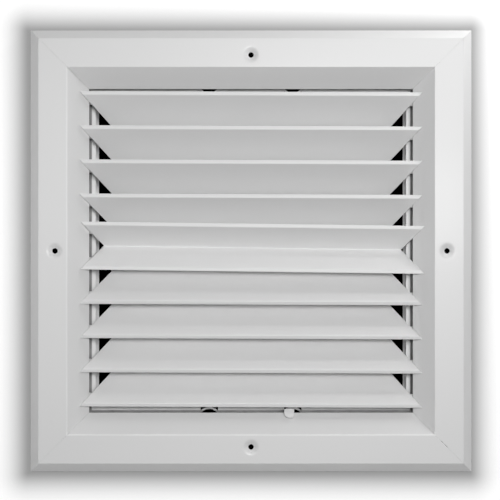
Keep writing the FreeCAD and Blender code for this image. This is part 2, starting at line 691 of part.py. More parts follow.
def make_rail(name, turn, extra_holes=()):
    """Top or bottom channel of the case, with the pivot holes in its web."""
    body = new_body(name)
    sheet_size = "sizes.damper_sheet"
    profile = new_sketch(body, "section", "YZ_Plane")
    front, rear = back(DAMPER_FRONT), back(DAMPER_BACK)
    add_outline(profile, [
        (front, FLANGE_IN), (front, DAMPER_OUT), (rear, DAMPER_OUT), (rear, REAR_IN),
        (f"{rear} - {sheet_size}", REAR_IN), (f"{rear} - {sheet_size}", WEB_IN),
        (f"{front} + {sheet_size}", WEB_IN), (f"{front} + {sheet_size}", FLANGE_IN)])
    add_pad(body, profile, f"2 * {DAMPER_OUT}", symmetric=True)
    add_notches(body)
    pivots = new_sketch(body, "pivots", "XY_Plane")
    for along in shutter_positions():
        add_circle(pivots, str(along), back(PIVOT_DEPTH), "sizes.pin_width / 2 + sizes.run_fit")
    for along, depth in extra_holes:
        add_circle(pivots, along, back(depth), "sizes.pin_width / 2 + sizes.seat_fit")
    add_pocket(body, pivots, f"{FACE_OUT}", downward=True)
    add_rivet_holes(body)
    body.Placement = turned_about_y(turn)
    keep(body)


def add_rivet_holes(body):
    """Holes for the corner rivets, through both flanges."""
    holes = new_sketch(body, "rivets", "XZ_Plane")
    for sign in ("0 - ", ""):
        add_circle(holes, f"{sign}{RIVET_LINE}", RIVET_LINE,
                   "sizes.rivet_shank / 2 + sizes.run_fit")
    add_pocket(body, holes, THROUGH, symmetric=True)


def make_side(name, turn):
    """Left or right channel of the case, nested inside the rails' flanges."""
    body = new_body(name)
    sheet_size = "sizes.damper_sheet"
    inset = f"({sheet_size} + sizes.nest_gap)"
    front, rear = f"({back(DAMPER_FRONT)} + {inset})", f"({back(DAMPER_BACK)} - {inset})"
    profile = new_sketch(body, "section", "XY_Plane")
    add_outline(profile, [
        (SIDE_IN, front), (DAMPER_OUT, front), (DAMPER_OUT, rear), (REAR_IN, rear),
        (REAR_IN, f"{rear} - {sheet_size}"), (WEB_IN, f"{rear} - {sheet_size}"),
        (WEB_IN, f"{front} + {sheet_size}"), (SIDE_IN, f"{front} + {sheet_size}")])
    add_pad(body, profile, f"2 * ({WEB_IN} - sizes.nest_gap)", symmetric=True)
    rivets = new_sketch(body, "rivets", "XZ_Plane")
    for sign in ("0 - ", ""):
        add_circle(rivets, RIVET_LINE, f"{sign}{RIVET_LINE}",
                   "sizes.rivet_shank / 2 + sizes.run_fit")
    add_pocket(body, rivets, THROUGH, symmetric=True)
    fixings = new_sketch(body, "fixings", "YZ_Plane")
    for sign in ("0 - ", ""):
        add_circle(fixings, back(FIXING_DEPTH), f"{sign}sizes.fixing_spread",
                   "sizes.screw_shank / 2 + sizes.run_fit")
    add_pocket(body, fixings, f"{FACE_OUT}", downward=True)
    body.Placement = turned_about_y(turn)
    keep(body)


# ---------------------------------------------------------------- shutters

def make_shutter(name, across):
    """An upright blade with a bent tab at each end; its origin is on the pivot axis."""
    body = new_body(name)
    thick = "sizes.shutter_sheet"
    outer = f"(0 - sizes.blade_offset - {thick} / 2)"
    half = f"({SHUTTER_WIDTH} / 2)"
    hole = "sizes.pin_width / 2 + sizes.seat_fit"
    blade = new_sketch(body, "blade", "XY_Plane", offset=f"0 - {TAB_LOW}")
    add_outline(blade, [(outer, f"0 - {half}"), (f"{outer} + {thick}", f"0 - {half}"),
                        (f"{outer} + {thick}", half), (outer, half)])
    add_pad(body, blade, f"{TAB_LOW} + {TOP_TAB}")
    foot = new_sketch(body, "foot_tab", "XY_Plane", offset=f"0 - {TAB_LOW}")
    far = f"({CRANK_X} + sizes.crank_edge)"
    deep = f"({CRANK_Y} + sizes.crank_edge)"
    add_outline(foot, [(outer, "0 - sizes.tab_half"), ("sizes.tab_reach", "0 - sizes.tab_half"),
                       (far, "sizes.tab_shoulder"), (far, deep), (outer, deep)])
    add_pad(body, foot, thick)
    head = new_sketch(body, "head_tab", "XY_Plane", offset=f"{TOP_TAB} - {thick}")
    add_outline(head, [(outer, "0 - sizes.tab_half"), ("sizes.tab_reach", "0 - sizes.tab_half"),
                       ("sizes.tab_reach", "sizes.tab_half"), (outer, "sizes.tab_half")])
    add_pad(body, head, thick)
    pivots = new_sketch(body, "pivots", "XY_Plane")
    add_circle(pivots, "0", "0", hole)
    add_pocket(body, pivots, THROUGH, symmetric=True)
    crank = new_sketch(body, "crank", "XY_Plane")
    add_circle(crank, CRANK_X, CRANK_Y, hole)
    add_pocket(body, crank, FACE_OUT)
    body.Placement = FreeCAD.Placement(Vector(across, value(back(PIVOT_DEPTH)), 0),
                                       FreeCAD.Rotation())
    keep(body)


def make_pin_masters():
    """The three turned pins that every shutter carries."""
    shank = "sizes.pin_width / 2"
    head = "sizes.pin_head / 2"
    thick = "sizes.head_thickness"
    beyond = f"({DAMPER_OUT} + sizes.pin_play)"
    top = make_turned("top_pin", [
        (f"{TOP_TAB} - sizes.shutter_sheet - {thick}", f"{TOP_TAB} - sizes.shutter_sheet", head),
        (f"{TOP_TAB} - sizes.shutter_sheet", beyond, shank),
        (beyond, f"{beyond} + {thick}", head)])
    bottom = make_turned("bottom_pin", [
        (f"0 - {beyond} - {thick}", f"0 - {beyond}", head),
        (f"0 - {beyond}", f"sizes.pin_play - {WEB_IN}", shank),
        (f"sizes.pin_play - {WEB_IN}", f"0 - {TAB_LOW}", "sizes.pin_shoulder / 2"),
        (f"0 - {TAB_LOW}", f"0 - {TAB_HIGH}", shank),
        (f"0 - {TAB_HIGH}", f"{thick} - {TAB_HIGH}", head)])
    under = f"(0 - {BAR_LOW} - sizes.pin_play)"
    crank = make_turned("crank_pin", [
        (f"{under} - sizes.crank_foot", under, "sizes.pin_shoulder / 2"),
        (under, f"0 - {TAB_HIGH}", shank),
        (f"0 - {TAB_HIGH}", f"{thick} - {TAB_HIGH}", "sizes.pin_shoulder / 2")])
    return top, bottom, crank


def make_shutter_pins(name, across, masters):
    """Both pivots and the crank pin of one shutter."""
    top, bottom, crank = (master.Shape for master in masters)
    depth = value(back(PIVOT_DEPTH))
    pivot = FreeCAD.Placement(Vector(across, depth, 0), FreeCAD.Rotation())
    arm = FreeCAD.Placement(Vector(across + value(CRANK_X), depth + value(CRANK_Y), 0),
                            FreeCAD.Rotation())
    group(name, [placed(top, pivot), placed(bottom, pivot), placed(crank, arm)])


# ---------------------------------------------------------------- linkage

def make_link_bar():
    """A flat bar over all the crank pins; its origin is on the first of them."""
    body = new_body("link_bar")
    first = shutter_positions()[0]
    span = f"({SHUTTERS - 1} * {SHUTTER_PITCH})"
    half = "sizes.bar_width / 2"
    plate = new_sketch(body, "plate", "XY_Plane", offset=f"0 - {BAR_LOW}")
    add_outline(plate, [("0 - sizes.bar_end", f"0 - {half}"),
                        (f"{span} + sizes.bar_end", f"0 - {half}"),
                        (f"{span} + sizes.bar_end", half), ("0 - sizes.bar_end", half)])
    add_pad(body, plate, "sizes.bar_sheet")
    holes = new_sketch(body, "pins", "XY_Plane")
    for index in range(SHUTTERS):
        add_circle(holes, f"{index} * {SHUTTER_PITCH}", "0", "sizes.pin_width / 2 + sizes.run_fit")
    add_circle(holes, f"sizes.notch_spread - ({first})", "0",
               "sizes.pin_width / 2 + sizes.seat_fit")
    add_pocket(body, holes, FACE_OUT)
    body.Placement = FreeCAD.Placement(
        Vector(first + value(CRANK_X), value(back(PIVOT_DEPTH)) + value(CRANK_Y), 0),
        FreeCAD.Rotation())
    keep(body)


def make_bar_pin():
    """The pin under the link bar that the lever's fork pushes."""
    shoulder = f"(0 - {BAR_LOW} - sizes.bar_pin_foot)"
    body = make_turned("link_bar_pin", [
        (f"0 - {LEVER_LOW}", shoulder, "sizes.pin_width / 2"),
        (shoulder, f"0 - {BAR_LOW}", "sizes.pin_shoulder / 2"),
        (f"0 - {BAR_LOW}", f"0 - {BAR_HIGH}", "sizes.pin_width / 2")])
    body.Placement = FreeCAD.Placement(
        Vector(value("sizes.notch_spread") + value(CRANK_X),
               value(back(PIVOT_DEPTH)) + value(CRANK_Y), 0), FreeCAD.Rotation())
    keep(body)


def lever_side():
    """Side of the lever's strip, as Y from its pivot and height: flat, ramp, flat, tab."""
    thick = "sizes.lever_sheet"
    skew = f"({thick} * {ROOT_TWO})"
    low = f"({LIP_IN} - sizes.strip_gap)"
    high = f"({low} - {thick})"
    start = f"(sizes.slope_depth + sizes.frame_wall / {ROOT_TWO} - sizes.strip_step)"
    ramp = f"({start} - {low})"
    tab = f"({FLAT_IN} - sizes.tab_gap * {ROOT_TWO})"
    end = f"({LIP_IN} + sizes.tab_end_drop)"
    points = [
        ("0", LEVER_LOW),
        (f"{ramp} + {LEVER_LOW} - {LEVER_DEPTH}", LEVER_LOW),
        (f"{start} - {LEVER_DEPTH}", low),
        (f"{tab} - {low} - {LEVER_DEPTH}", low),
        (f"{tab} - {end} - {LEVER_DEPTH}", end),
        (f"{tab} - {end} - {thick} / {ROOT_TWO} - {LEVER_DEPTH}", f"{end} - {thick} / {ROOT_TWO}"),
        (f"{tab} - {skew} - {high} - {LEVER_DEPTH}", high),
        (f"{ramp} + {skew} + {high} - {LEVER_DEPTH}", high),
        (f"{ramp} + {skew} + {LEVER_HIGH} - {LEVER_DEPTH}", LEVER_HIGH),
        ("0", LEVER_HIGH),
    ]
    return [(across, f"0 - ({height})") for across, height in points]


def round_tab(body, width):
    """Round the free corners of the finger tab, more on the left."""
    document.recompute()
    tip = body.Tip
    reach = min(vertex.Y for vertex in tip.Shape.Vertexes)
    for side, size in ((-1, "sizes.tab_round"), (1, "sizes.tab_corner")):
        tip = body.Tip
        corner = value(width) / 2 * side
        chosen = []
        for index, edge in enumerate(tip.Shape.Edges, start=1):
            ends = [vertex.Point for vertex in edge.Vertexes]
            on_side = all(abs(point.x - corner) < 0.01 for point in ends)
            at_tip = min(point.y for point in ends) < reach + 0.01
            short = edge.Length < value("sizes.lever_sheet") + 0.01
            if on_side and at_tip and short:
                chosen.append(f"Edge{index}")
        fillet = body.newObject("PartDesign::Fillet", f"lever_{size.split('.')[1]}")
        fillet.Base = (tip, chosen)
        fillet.setExpression("Radius", size)
        document.recompute()


def make_lever():
    """Bent strip: finger tab in front, pivot in the rail, fork on the link bar's pin."""
    body = new_body("lever")
    side = lever_side()
    strip = new_sketch(body, "strip", "YZ_Plane")
    add_outline(strip, side)
    add_pad(body, strip, "sizes.lever_width", symmetric=True)
    tab = new_sketch(body, "tab", "YZ_Plane")
    add_outline(tab, [side[3], side[4], side[5], side[6]])
    add_pad(body, tab, "sizes.tab_width", symmetric=True)
    round_tab(body, "sizes.tab_width")
    disc = new_sketch(body, "disc", "XY_Plane", offset=f"0 - {LEVER_LOW}")
    add_circle(disc, "0", "0", "sizes.lever_disc / 2")
    add_pad(body, disc, "sizes.lever_sheet")
    angle = f"(sizes.lever_bend - {FORK_LEAN})"
    fork = new_sketch(body, "fork", "XY_Plane", offset=f"0 - {LEVER_LOW}", turn=angle)
    nearest = f"sqrt({CRANK_X} ^ 2 + ({PIVOT_DEPTH} - {LEVER_DEPTH} + {CRANK_Y}) ^ 2)"
    farthest = f"({PIVOT_DEPTH} - {LEVER_DEPTH} + sizes.crank_radius)"
    pin = "sizes.pin_width / 2"
    slot = f"({pin} + sizes.fork_slot_gap)"
    root = f"({nearest} - {slot} - sizes.fork_root)"
    tip = f"({farthest} + {pin} + sizes.fork_tip)"
    arm = "sizes.fork_arm / 2"
    cheek = "sizes.fork_width / 2"
    neck = f"({root} - {cheek} + {arm})"
    right = [(arm, "0"), (arm, neck), (cheek, root), (cheek, tip), (slot, tip), (slot, root)]
    left = [(f"0 - {across}", up) for across, up in reversed(right)]
    add_outline(fork, right + left)
    add_pad(body, fork, "sizes.lever_sheet")
    hole = new_sketch(body, "pivot", "XY_Plane")
    add_circle(hole, "0", "0", f"{pin} + sizes.run_fit")
    add_pocket(body, hole, FACE_OUT)
    body.Placement = FreeCAD.Placement(
        Vector(value("sizes.notch_spread"), value(back(LEVER_DEPTH)), 0),
        FreeCAD.Rotation(Z_AXIS, -value("sizes.lever_bend")))
    keep(body)


def make_lever_rivet():
    """Shouldered rivet in the bottom rail that the lever turns on."""
    body = make_turned("lever_rivet", [
        (f"0 - {DAMPER_OUT}", f"sizes.pin_play - {LEVER_HIGH}", "sizes.pin_width / 2"),
        (f"sizes.pin_play - {LEVER_HIGH}",
         f"sizes.pin_play + sizes.head_thickness - {LEVER_HIGH}", "sizes.lever_head / 2")])
    body.Placement = FreeCAD.Placement(
        Vector(value("sizes.notch_spread"), value(back(LEVER_DEPTH)), 0), FreeCAD.Rotation())
    keep(body)


# ---------------------------------------------------------------- whole part

def build_front():
    """Frame, keys, louvres and their screws."""
    places = louvre_places()
    sides = {-1: [], 1: []}
    for _name, placement, heights in places:
        for height in heights:
            for side, world in zip((-1, 1), boss_line(placement, height)):
                # The right member's own X points down, and the left one's points up.
                sides[side].append((str(-side * world), "sizes.boss_depth"))
    for side in (-1, 1):
        for sign in ("0 - ", ""):
            sides[side].append((f"{sign}sizes.fixing_spread", FIXING_DEPTH))
    make_frame_member("top_frame_member", 0)
    make_frame_member("right_frame_member", 90, sides[1])
    make_frame_member("bottom_frame_member", 180)
    make_frame_member("left_frame_member", 270, sides[-1])
    for name, turn in (("top_right", 0), ("bottom_right", 90), ("bottom_left", 180),
                       ("top_left", 270)):
        make_corner_key(f"corner_key_{name}", turn)
    for name, placement, heights in places:
        maker = make_centre_louvre if len(heights) == 2 else make_single_louvre
        maker(name, placement)
    screw = make_turned("sheet_screw", [
        ("0 - sizes.screw_length", "0", "sizes.screw_shank / 2"),
        ("0", "sizes.head_height", "sizes.screw_head / 2")])
    make_louvre_screws(places, screw.Shape)
    make_damper_screws(screw.Shape)


def build_damper():
    """Case, shutters, pins and linkage."""
    make_rail("damper_top_rail", 0)
    make_rail("damper_bottom_rail", 180, [("0 - sizes.notch_spread", LEVER_DEPTH)])
    make_side("damper_right_side", 0)
    make_side("damper_left_side", 180)
    grip = "(2 * sizes.damper_sheet + sizes.nest_gap)"
    rivet = make_turned("case_rivet", [
        (f"0 - {grip} - sizes.head_thickness", f"0 - {grip}", "sizes.rivet_head / 2"),
        (f"0 - {grip}", "0", "sizes.rivet_shank / 2"),
        ("0", "sizes.head_thickness", "sizes.rivet_head / 2")])
    make_corner_rivets(rivet.Shape)
    masters = make_pin_masters()
    for number, across in enumerate(shutter_positions(), start=1):
        make_shutter(f"shutter_{number}", across)
        make_shutter_pins(f"shutter_{number}_pins", across, masters)
    make_link_bar()
    make_bar_pin()
    make_lever()
    make_lever_rivet()


def check_and_write():
    """Stop on any failed object or shape, then write one STEP file for each node."""
    document.recompute()
    for item in document.Objects:
        if "Invalid" in item.State or "Error" in item.State:
            raise RuntimeError(f"{item.Name} failed: {item.State}")
    for node in nodes:
        if node.Shape.isNull() or not node.Shape.isValid():
            raise RuntimeError(f"{node.Label} has no valid shape")
    os.makedirs("parts", exist_ok=True)
    for node in nodes:
        node.Shape.exportStep(f"parts/{node.Label}.step")
        print(f"{node.Label}: {len(node.Shape.Solids)} solid(s), {node.Shape.Volume:.1f} mm3")


def print_motion():
    """Print the places that the joints use, in metres and degrees."""
    swing = value(FORK_LEAN)
    print("pivot y", value(back(PIVOT_DEPTH)) / 1000, "crank", value(CRANK_X) / 1000,
          value(CRANK_Y) / 1000)
    print("lever y", value(back(LEVER_DEPTH)) / 1000, "ratio",
          2 * swing / value("sizes.closing_angle"))
    print("shutter x", [round(across / 1000, 6) for across in shutter_positions()])
    print("hole circle", 2 * value(SCREW_LINE))


build_front()
build_damper()
check_and_write()
print_motion()
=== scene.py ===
"""Louvred air grille with a shutter damper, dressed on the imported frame.

The flange, the louvres and the screws are new surfaces worked out with numpy; the corner keys
and the pieces of the damper are copies of their own solids with eased edges. Sizes are in
millimetres and depths run back from the flat of the flange. X is right, Y into the wall, Z up.
"""
import enum
import json
import logging
import math
from dataclasses import dataclass, field

import bmesh
import bpy
import numpy as np
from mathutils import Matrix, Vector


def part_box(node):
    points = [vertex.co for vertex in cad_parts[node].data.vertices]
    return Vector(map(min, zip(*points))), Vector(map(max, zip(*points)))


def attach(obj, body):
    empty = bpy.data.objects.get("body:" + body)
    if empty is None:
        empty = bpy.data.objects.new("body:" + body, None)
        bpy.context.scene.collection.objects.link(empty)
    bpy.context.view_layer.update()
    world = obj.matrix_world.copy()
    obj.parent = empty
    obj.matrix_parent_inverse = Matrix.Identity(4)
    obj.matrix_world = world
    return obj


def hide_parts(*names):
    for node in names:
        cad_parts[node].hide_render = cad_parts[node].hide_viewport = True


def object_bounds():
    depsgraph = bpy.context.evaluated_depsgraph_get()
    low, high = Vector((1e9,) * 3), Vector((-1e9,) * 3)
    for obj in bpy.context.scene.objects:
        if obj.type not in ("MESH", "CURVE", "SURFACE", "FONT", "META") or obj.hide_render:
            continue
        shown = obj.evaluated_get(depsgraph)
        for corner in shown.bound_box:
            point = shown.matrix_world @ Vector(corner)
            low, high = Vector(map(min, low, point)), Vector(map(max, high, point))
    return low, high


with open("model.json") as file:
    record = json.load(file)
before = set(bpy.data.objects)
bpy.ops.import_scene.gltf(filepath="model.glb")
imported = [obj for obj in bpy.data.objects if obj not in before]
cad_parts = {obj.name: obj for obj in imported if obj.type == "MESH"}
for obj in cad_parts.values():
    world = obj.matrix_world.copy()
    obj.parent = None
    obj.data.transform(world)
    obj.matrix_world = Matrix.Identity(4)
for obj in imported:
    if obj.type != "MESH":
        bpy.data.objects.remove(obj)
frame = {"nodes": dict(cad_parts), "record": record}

Array = np.ndarray
Socket = bpy.types.NodeSocket
Node = bpy.types.Node
Material = bpy.types.Material
Mesh = bpy.types.Mesh
Colour = tuple[float, float, float]
CAD_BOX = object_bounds()
MM = 0.001  # metres in a millimetre
NEAR, VERY_NEAR = 2e-6, 1e-6  # metres under which points merge
FLAT = 0.5  # degrees under which neighbouring faces lie in one plane
logging.basicConfig(level=logging.INFO, format="%(message)s")
log = logging.getLogger("grille")


# ---- shader node groups

class Tree:
    """Adds nodes to a node tree and links them."""

    def __init__(self, tree: bpy.types.NodeTree) -> None:
        """Keep the tree that nodes go in."""
        self.tree = tree

    def node(self, kind: str, **settings: object) -> Node:
        """Add a node.

        Args:
            kind: The node's type.
            **settings: Properties of the node to set.

        Returns:
            The new node.
        """
        node = self.tree.nodes.new(kind)
        for name, setting in settings.items():
            setattr(node, name, setting)
        return node

    def put(self, node: Node, **values: object) -> None:
        """Set a node's inputs, with underscores for spaces."""
        for name, value in values.items():
            node.inputs[name.replace("_", " ")].default_value = value

    def link(self, source: Socket, target: Socket) -> None:
        """Join two sockets."""
        self.tree.links.new(source, target)

    def feed(self, given: object, socket: Socket) -> None:
        """Link a socket, or set a number."""
        if isinstance(given, Socket):
            self.link(given, socket)
        else:
            socket.default_value = given

    def maths(self, operation: str, first: object, second: object = 0.0) -> Socket:
        """Add a Math node.

        Args:
            operation: What the node does.
            first: A socket or a number.
            second: A socket or a number.

        Returns:
            The result's socket.
        """
        node = self.node("ShaderNodeMath", operation=operation)
        self.feed(first, node.inputs[0])
        self.feed(second, node.inputs[1])
        return node.outputs[0]

    def size(self, value: object) -> Socket:
        """The value without its sign."""
        return self.maths("ABSOLUTE", value)

    def rest(self, value: object) -> Socket:
        """One less the value."""
        return self.maths("SUBTRACT", 1.0, value)

    def times(self, first: object, *others: object) -> Socket:
        """The product of some values."""
        for other in others:
            first = self.maths("MULTIPLY", first, other)
        return first

    def about(self, value: object, share: object, start: object) -> Socket:
        """The share of the value, plus a start."""
        return self.maths("ADD", self.times(value, share), start)

    def axes(self, where: Socket) -> bpy.types.NodeOutputs:
        """The X, Y and Z of some coordinates."""
        split = self.node("ShaderNodeSeparateXYZ")
        self.link(where, split.inputs[0])
        return split.outputs

    def from_middle(self, where: Socket) -> Socket:
        """Distance from the middle in squares: the larger of |X| and |Z|."""
        across, _, up = self.axes(where)
        return self.maths("MAXIMUM", self.size(across), self.size(up))

    def scaled(self, colour: object, factor: Socket) -> Socket:
        """A colour times a factor."""
        product = self.node("ShaderNodeVectorMath", operation="SCALE")
        self.feed(colour, product.inputs[0])
        self.link(factor, product.inputs["Scale"])
        return product.outputs[0]

    def join(self, kind: str, first: Node, second: Node, factor: Socket | None = None) -> Node:
        """Join two shaders.

        Args:
            kind: Type of the joining node.
            first: A shader.
            second: A shader.
            factor: Share of the second, for a mix.

        Returns:
            The joining node.
        """
        node = self.node(kind)
        if factor:
            self.link(factor, node.inputs[0])
        self.link(first.outputs[0], node.inputs[-2])
        self.link(second.outputs[0], node.inputs[-1])
        return node

    def noise(self, where: Socket, scale: object, detail: float = 2.0,
              roughness: float = 0.5) -> Socket:
        """Add a noise texture.

        Args:
            where: The coordinates it reads.
            scale: Its scale, a socket or a number.
            detail: Octaves of finer noise.
            roughness: Weight of the finer noise.

        Returns:
            The noise value, about 0 to 1.
        """
        node = self.node("ShaderNodeTexNoise")
        self.put(node, Detail=detail, Roughness=roughness)
        self.feed(scale, node.inputs["Scale"])
        self.link(where, node.inputs["Vector"])
        return node.outputs["Fac"]


class Group(Tree):
    """A node group with named inputs and outputs, built once."""

    def __init__(self, name: str, inputs: dict[str, object], outputs: dict[str, str]) -> None:
        """Make the group and its sockets.

        Args:
            name: Name of the group.
            inputs: Input names and their starting values; a 4-tuple makes a colour, and None
                a vector.
            outputs: Output names and their socket types.
        """
        super().__init__(bpy.data.node_groups.new(name, "ShaderNodeTree"))
        for label, start in inputs.items():
            kind = {tuple: "NodeSocketColor", type(None): "NodeSocketVector"}.get(
                type(start), "NodeSocketFloat")
            socket = self.tree.interface.new_socket(label, in_out="INPUT", socket_type=kind)
            if start is not None:
                socket.default_value = start
        for label, kind in outputs.items():
            self.tree.interface.new_socket(label, in_out="OUTPUT", socket_type=kind)
        self.given = self.node("NodeGroupInput").outputs
        self.result = self.node("NodeGroupOutput").inputs


def tone_group() -> Group:
    """Slow and fine changes of shade over a surface.

    The shade is the base colour times one plus spread times the noise about its middle; the
    same noise moves the roughness.

    Returns:
        The group, with Color and Roughness outputs.
    """
    group = Group("uneven_tone",
                  {"Vector": None, "Color": (0.8, 0.8, 0.8, 1.0), "Spread": 0.04,
                   "Patch Scale": 9.0, "Speck Scale": 900.0, "Roughness": 0.5,
                   "Roughness Spread": 0.08},
                  {"Color": "NodeSocketColor", "Roughness": "NodeSocketFloat"})
    where = group.given["Vector"]
    patches = group.noise(where, group.given["Patch Scale"], 3.0)
    specks = group.noise(where, group.given["Speck Scale"], 1.0)
    patch_share = 0.7
    mixed = group.maths("ADD", group.times(patches, patch_share),
                        group.times(specks, 1 - patch_share))
    centred = group.maths("SUBTRACT", mixed, 0.5)
    factor = group.about(centred, group.given["Spread"], 1.0)
    group.link(group.scaled(group.given["Color"], factor), group.result["Color"])
    rough = group.about(centred, group.given["Roughness Spread"], group.given["Roughness"])
    group.link(rough, group.result["Roughness"])
    return group


def peel_group() -> Group:
    """Orange peel of baked powder: soft rounded lumps with finer grain on them.

    Returns:
        The group, with a Height output from 0 to 1.
    """
    group = Group("orange_peel", {"Vector": None, "Lump Scale": 550.0, "Grain Share": 0.25},
                  {"Height": "NodeSocketFloat"})
    fineness = 3.7
    where, scale = group.given["Vector"], group.given["Lump Scale"]
    lumps = group.noise(where, scale, 1.0, 0.4)
    grain = group.noise(where, group.times(scale, fineness), 0.0)
    group.link(group.about(grain, group.given["Grain Share"], lumps), group.result["Height"])
    return group


def highlight_and_chips_group() -> Group:
    """Painted highlight along the flange's inner arris, and chips on a mitre.

    The distance from the edge's square is that of the larger of |X| and |Z|. The highlight mask
    paints light along the arris: it falls from one to zero over the width, comes and goes with
    noise, and lies along the bottom edge and, at half strength, up the left side. Chips lie on the
    line
    X + Z = 0 at the lower right corner, between two distances from the middle, broken into dashes
    by fine noise; a painted highlight line runs along their inside.

    Returns:
        The group, with a painted highlight mask and a Chips mask, each from 0 to 1.
    """
    group = Group("painted_edge_highlight_and_chips", {"Vector": None, "Edge": 0.1234, "Width": 0.0006,
                                "Patch Scale": 28.0, "Chip Start": 0.1258, "Chip Reach": 0.0062,
                                "Dash Scale": 620.0, "Chip Half": 0.00034,
                                "Bright Shift": 0.00045, "Bright Half": 0.0003},
                  {"Painted Highlight": "NodeSocketFloat", "Chips": "NodeSocketFloat"})
    corner_reach, left_weight, least, dash_cut = 0.002, 0.5, 0.1, 0.46
    where, edge = group.given["Vector"], group.given["Edge"]
    across, _, up = group.axes(where)
    distance = group.size(group.maths("SUBTRACT", group.from_middle(where), edge))
    line = group.rest(group.maths("DIVIDE", distance, group.given["Width"]))
    line = group.maths("MAXIMUM", line, 0.0)
    limit = group.maths("SUBTRACT", corner_reach, edge)
    below = group.maths("LESS_THAN", up, limit)
    beside = group.times(group.maths("LESS_THAN", across, limit), left_weight)
    patches = group.maths("ADD", group.noise(where, group.given["Patch Scale"]), least)
    # Painted highlight: a bright line along the bottom arris and, weaker, the left one.
    painted_highlight = group.times(line, patches, group.maths("MAXIMUM", below, beside))
    along = group.maths("DIVIDE", group.maths("SUBTRACT", across, group.given["Chip Start"]),
                        group.given["Chip Reach"])
    inside = group.maths("LESS_THAN", group.size(group.maths("SUBTRACT", along, 0.5)), 0.5)
    fine = group.noise(where, group.given["Dash Scale"], 1.0)
    dashes = group.times(inside, group.maths("GREATER_THAN", fine, dash_cut))
    mitre = group.maths("ADD", across, up)
    beyond = group.maths("ADD", mitre, group.given["Bright Shift"])
    # The bright line beside the chips is painted highlight as well.
    chips, bright = (
        group.times(group.maths("LESS_THAN", group.size(off), group.given[width]), dashes)
        for off, width in ((mitre, "Chip Half"), (beyond, "Bright Half")))
    group.link(chips, group.result["Chips"])
    group.link(group.maths("MAXIMUM", painted_highlight, bright), group.result["Painted Highlight"])
    return group


def neck_shade_group() -> Group:
    """Painted shade: a dark line where the damper's front flange sits in the duct neck.

    The mask rises from zero to one as the larger of |X| and |Z| passes the start, over the
    reach, on the flange's depth only. It is broken up a little by noise, and thinner along
    the top.

    Returns:
        The group, with a Mask output from 0 to 1.
    """
    group = Group("painted_neck_shade", {"Vector": None, "Start": 0.1099, "Reach": 0.0006,
                                 "Depth": 0.0227, "Thickness": 0.0012, "Patch Scale": 90.0},
                  {"Mask": "NodeSocketFloat"})
    patchiness, top_thinning = 0.3, 0.6
    where = group.given["Vector"]
    across, through, up = group.axes(where)
    past = group.maths("SUBTRACT", group.from_middle(where), group.given["Start"])
    rise = group.maths("DIVIDE", past, group.given["Reach"])
    rise = group.maths("MINIMUM", group.maths("MAXIMUM", rise, 0.0), 1.0)
    deep = group.size(group.maths("SUBTRACT", through, group.given["Depth"]))
    front = group.maths("LESS_THAN", deep, group.given["Thickness"])
    uneven = group.about(group.noise(where, group.given["Patch Scale"]), patchiness,
                         1 - patchiness)
    above = group.maths("GREATER_THAN", up, group.size(across))
    thinner = group.rest(group.times(above, top_thinning))
    # The mask paints shade where the flange meets the neck.
    group.link(group.times(rise, front, uneven, thinner), group.result["Mask"])
    return group


def drawn_group() -> Group:
    """Fine lines left along a piece by drawing or rolling: noise stretched along one axis.

    Returns:
        The group, with a Lines output from 0 to 1.
    """
    group = Group("drawn_lines", {"Vector": None, "Along X": 6.0, "Along Y": 900.0,
                                  "Along Z": 900.0}, {"Lines": "NodeSocketFloat"})
    join = group.node("ShaderNodeCombineXYZ")
    for axis, label in zip("XYZ", ("Along X", "Along Y", "Along Z")):
        group.link(group.given[label], join.inputs[axis])
    product = group.node("ShaderNodeVectorMath", operation="MULTIPLY")
    group.link(group.given["Vector"], product.inputs[0])
    group.link(join.outputs[0], product.inputs[1])
    group.link(group.noise(product.outputs[0], 1.0, 3.0, 0.6), group.result["Lines"])
    return group


GROUPS = {"tone": tone_group(), "peel": peel_group(), "highlight_and_chips": highlight_and_chips_group(),
          "neck_shade": neck_shade_group(), "lines": drawn_group()}


# ---- finishes

class Lay(enum.Enum):
    """Which way drawing lines run on bare metal, as noise scales along X, Y and Z."""

    ACROSS = (6.0, 900.0, 900.0)
    NONE = (420.0, 420.0, 420.0)


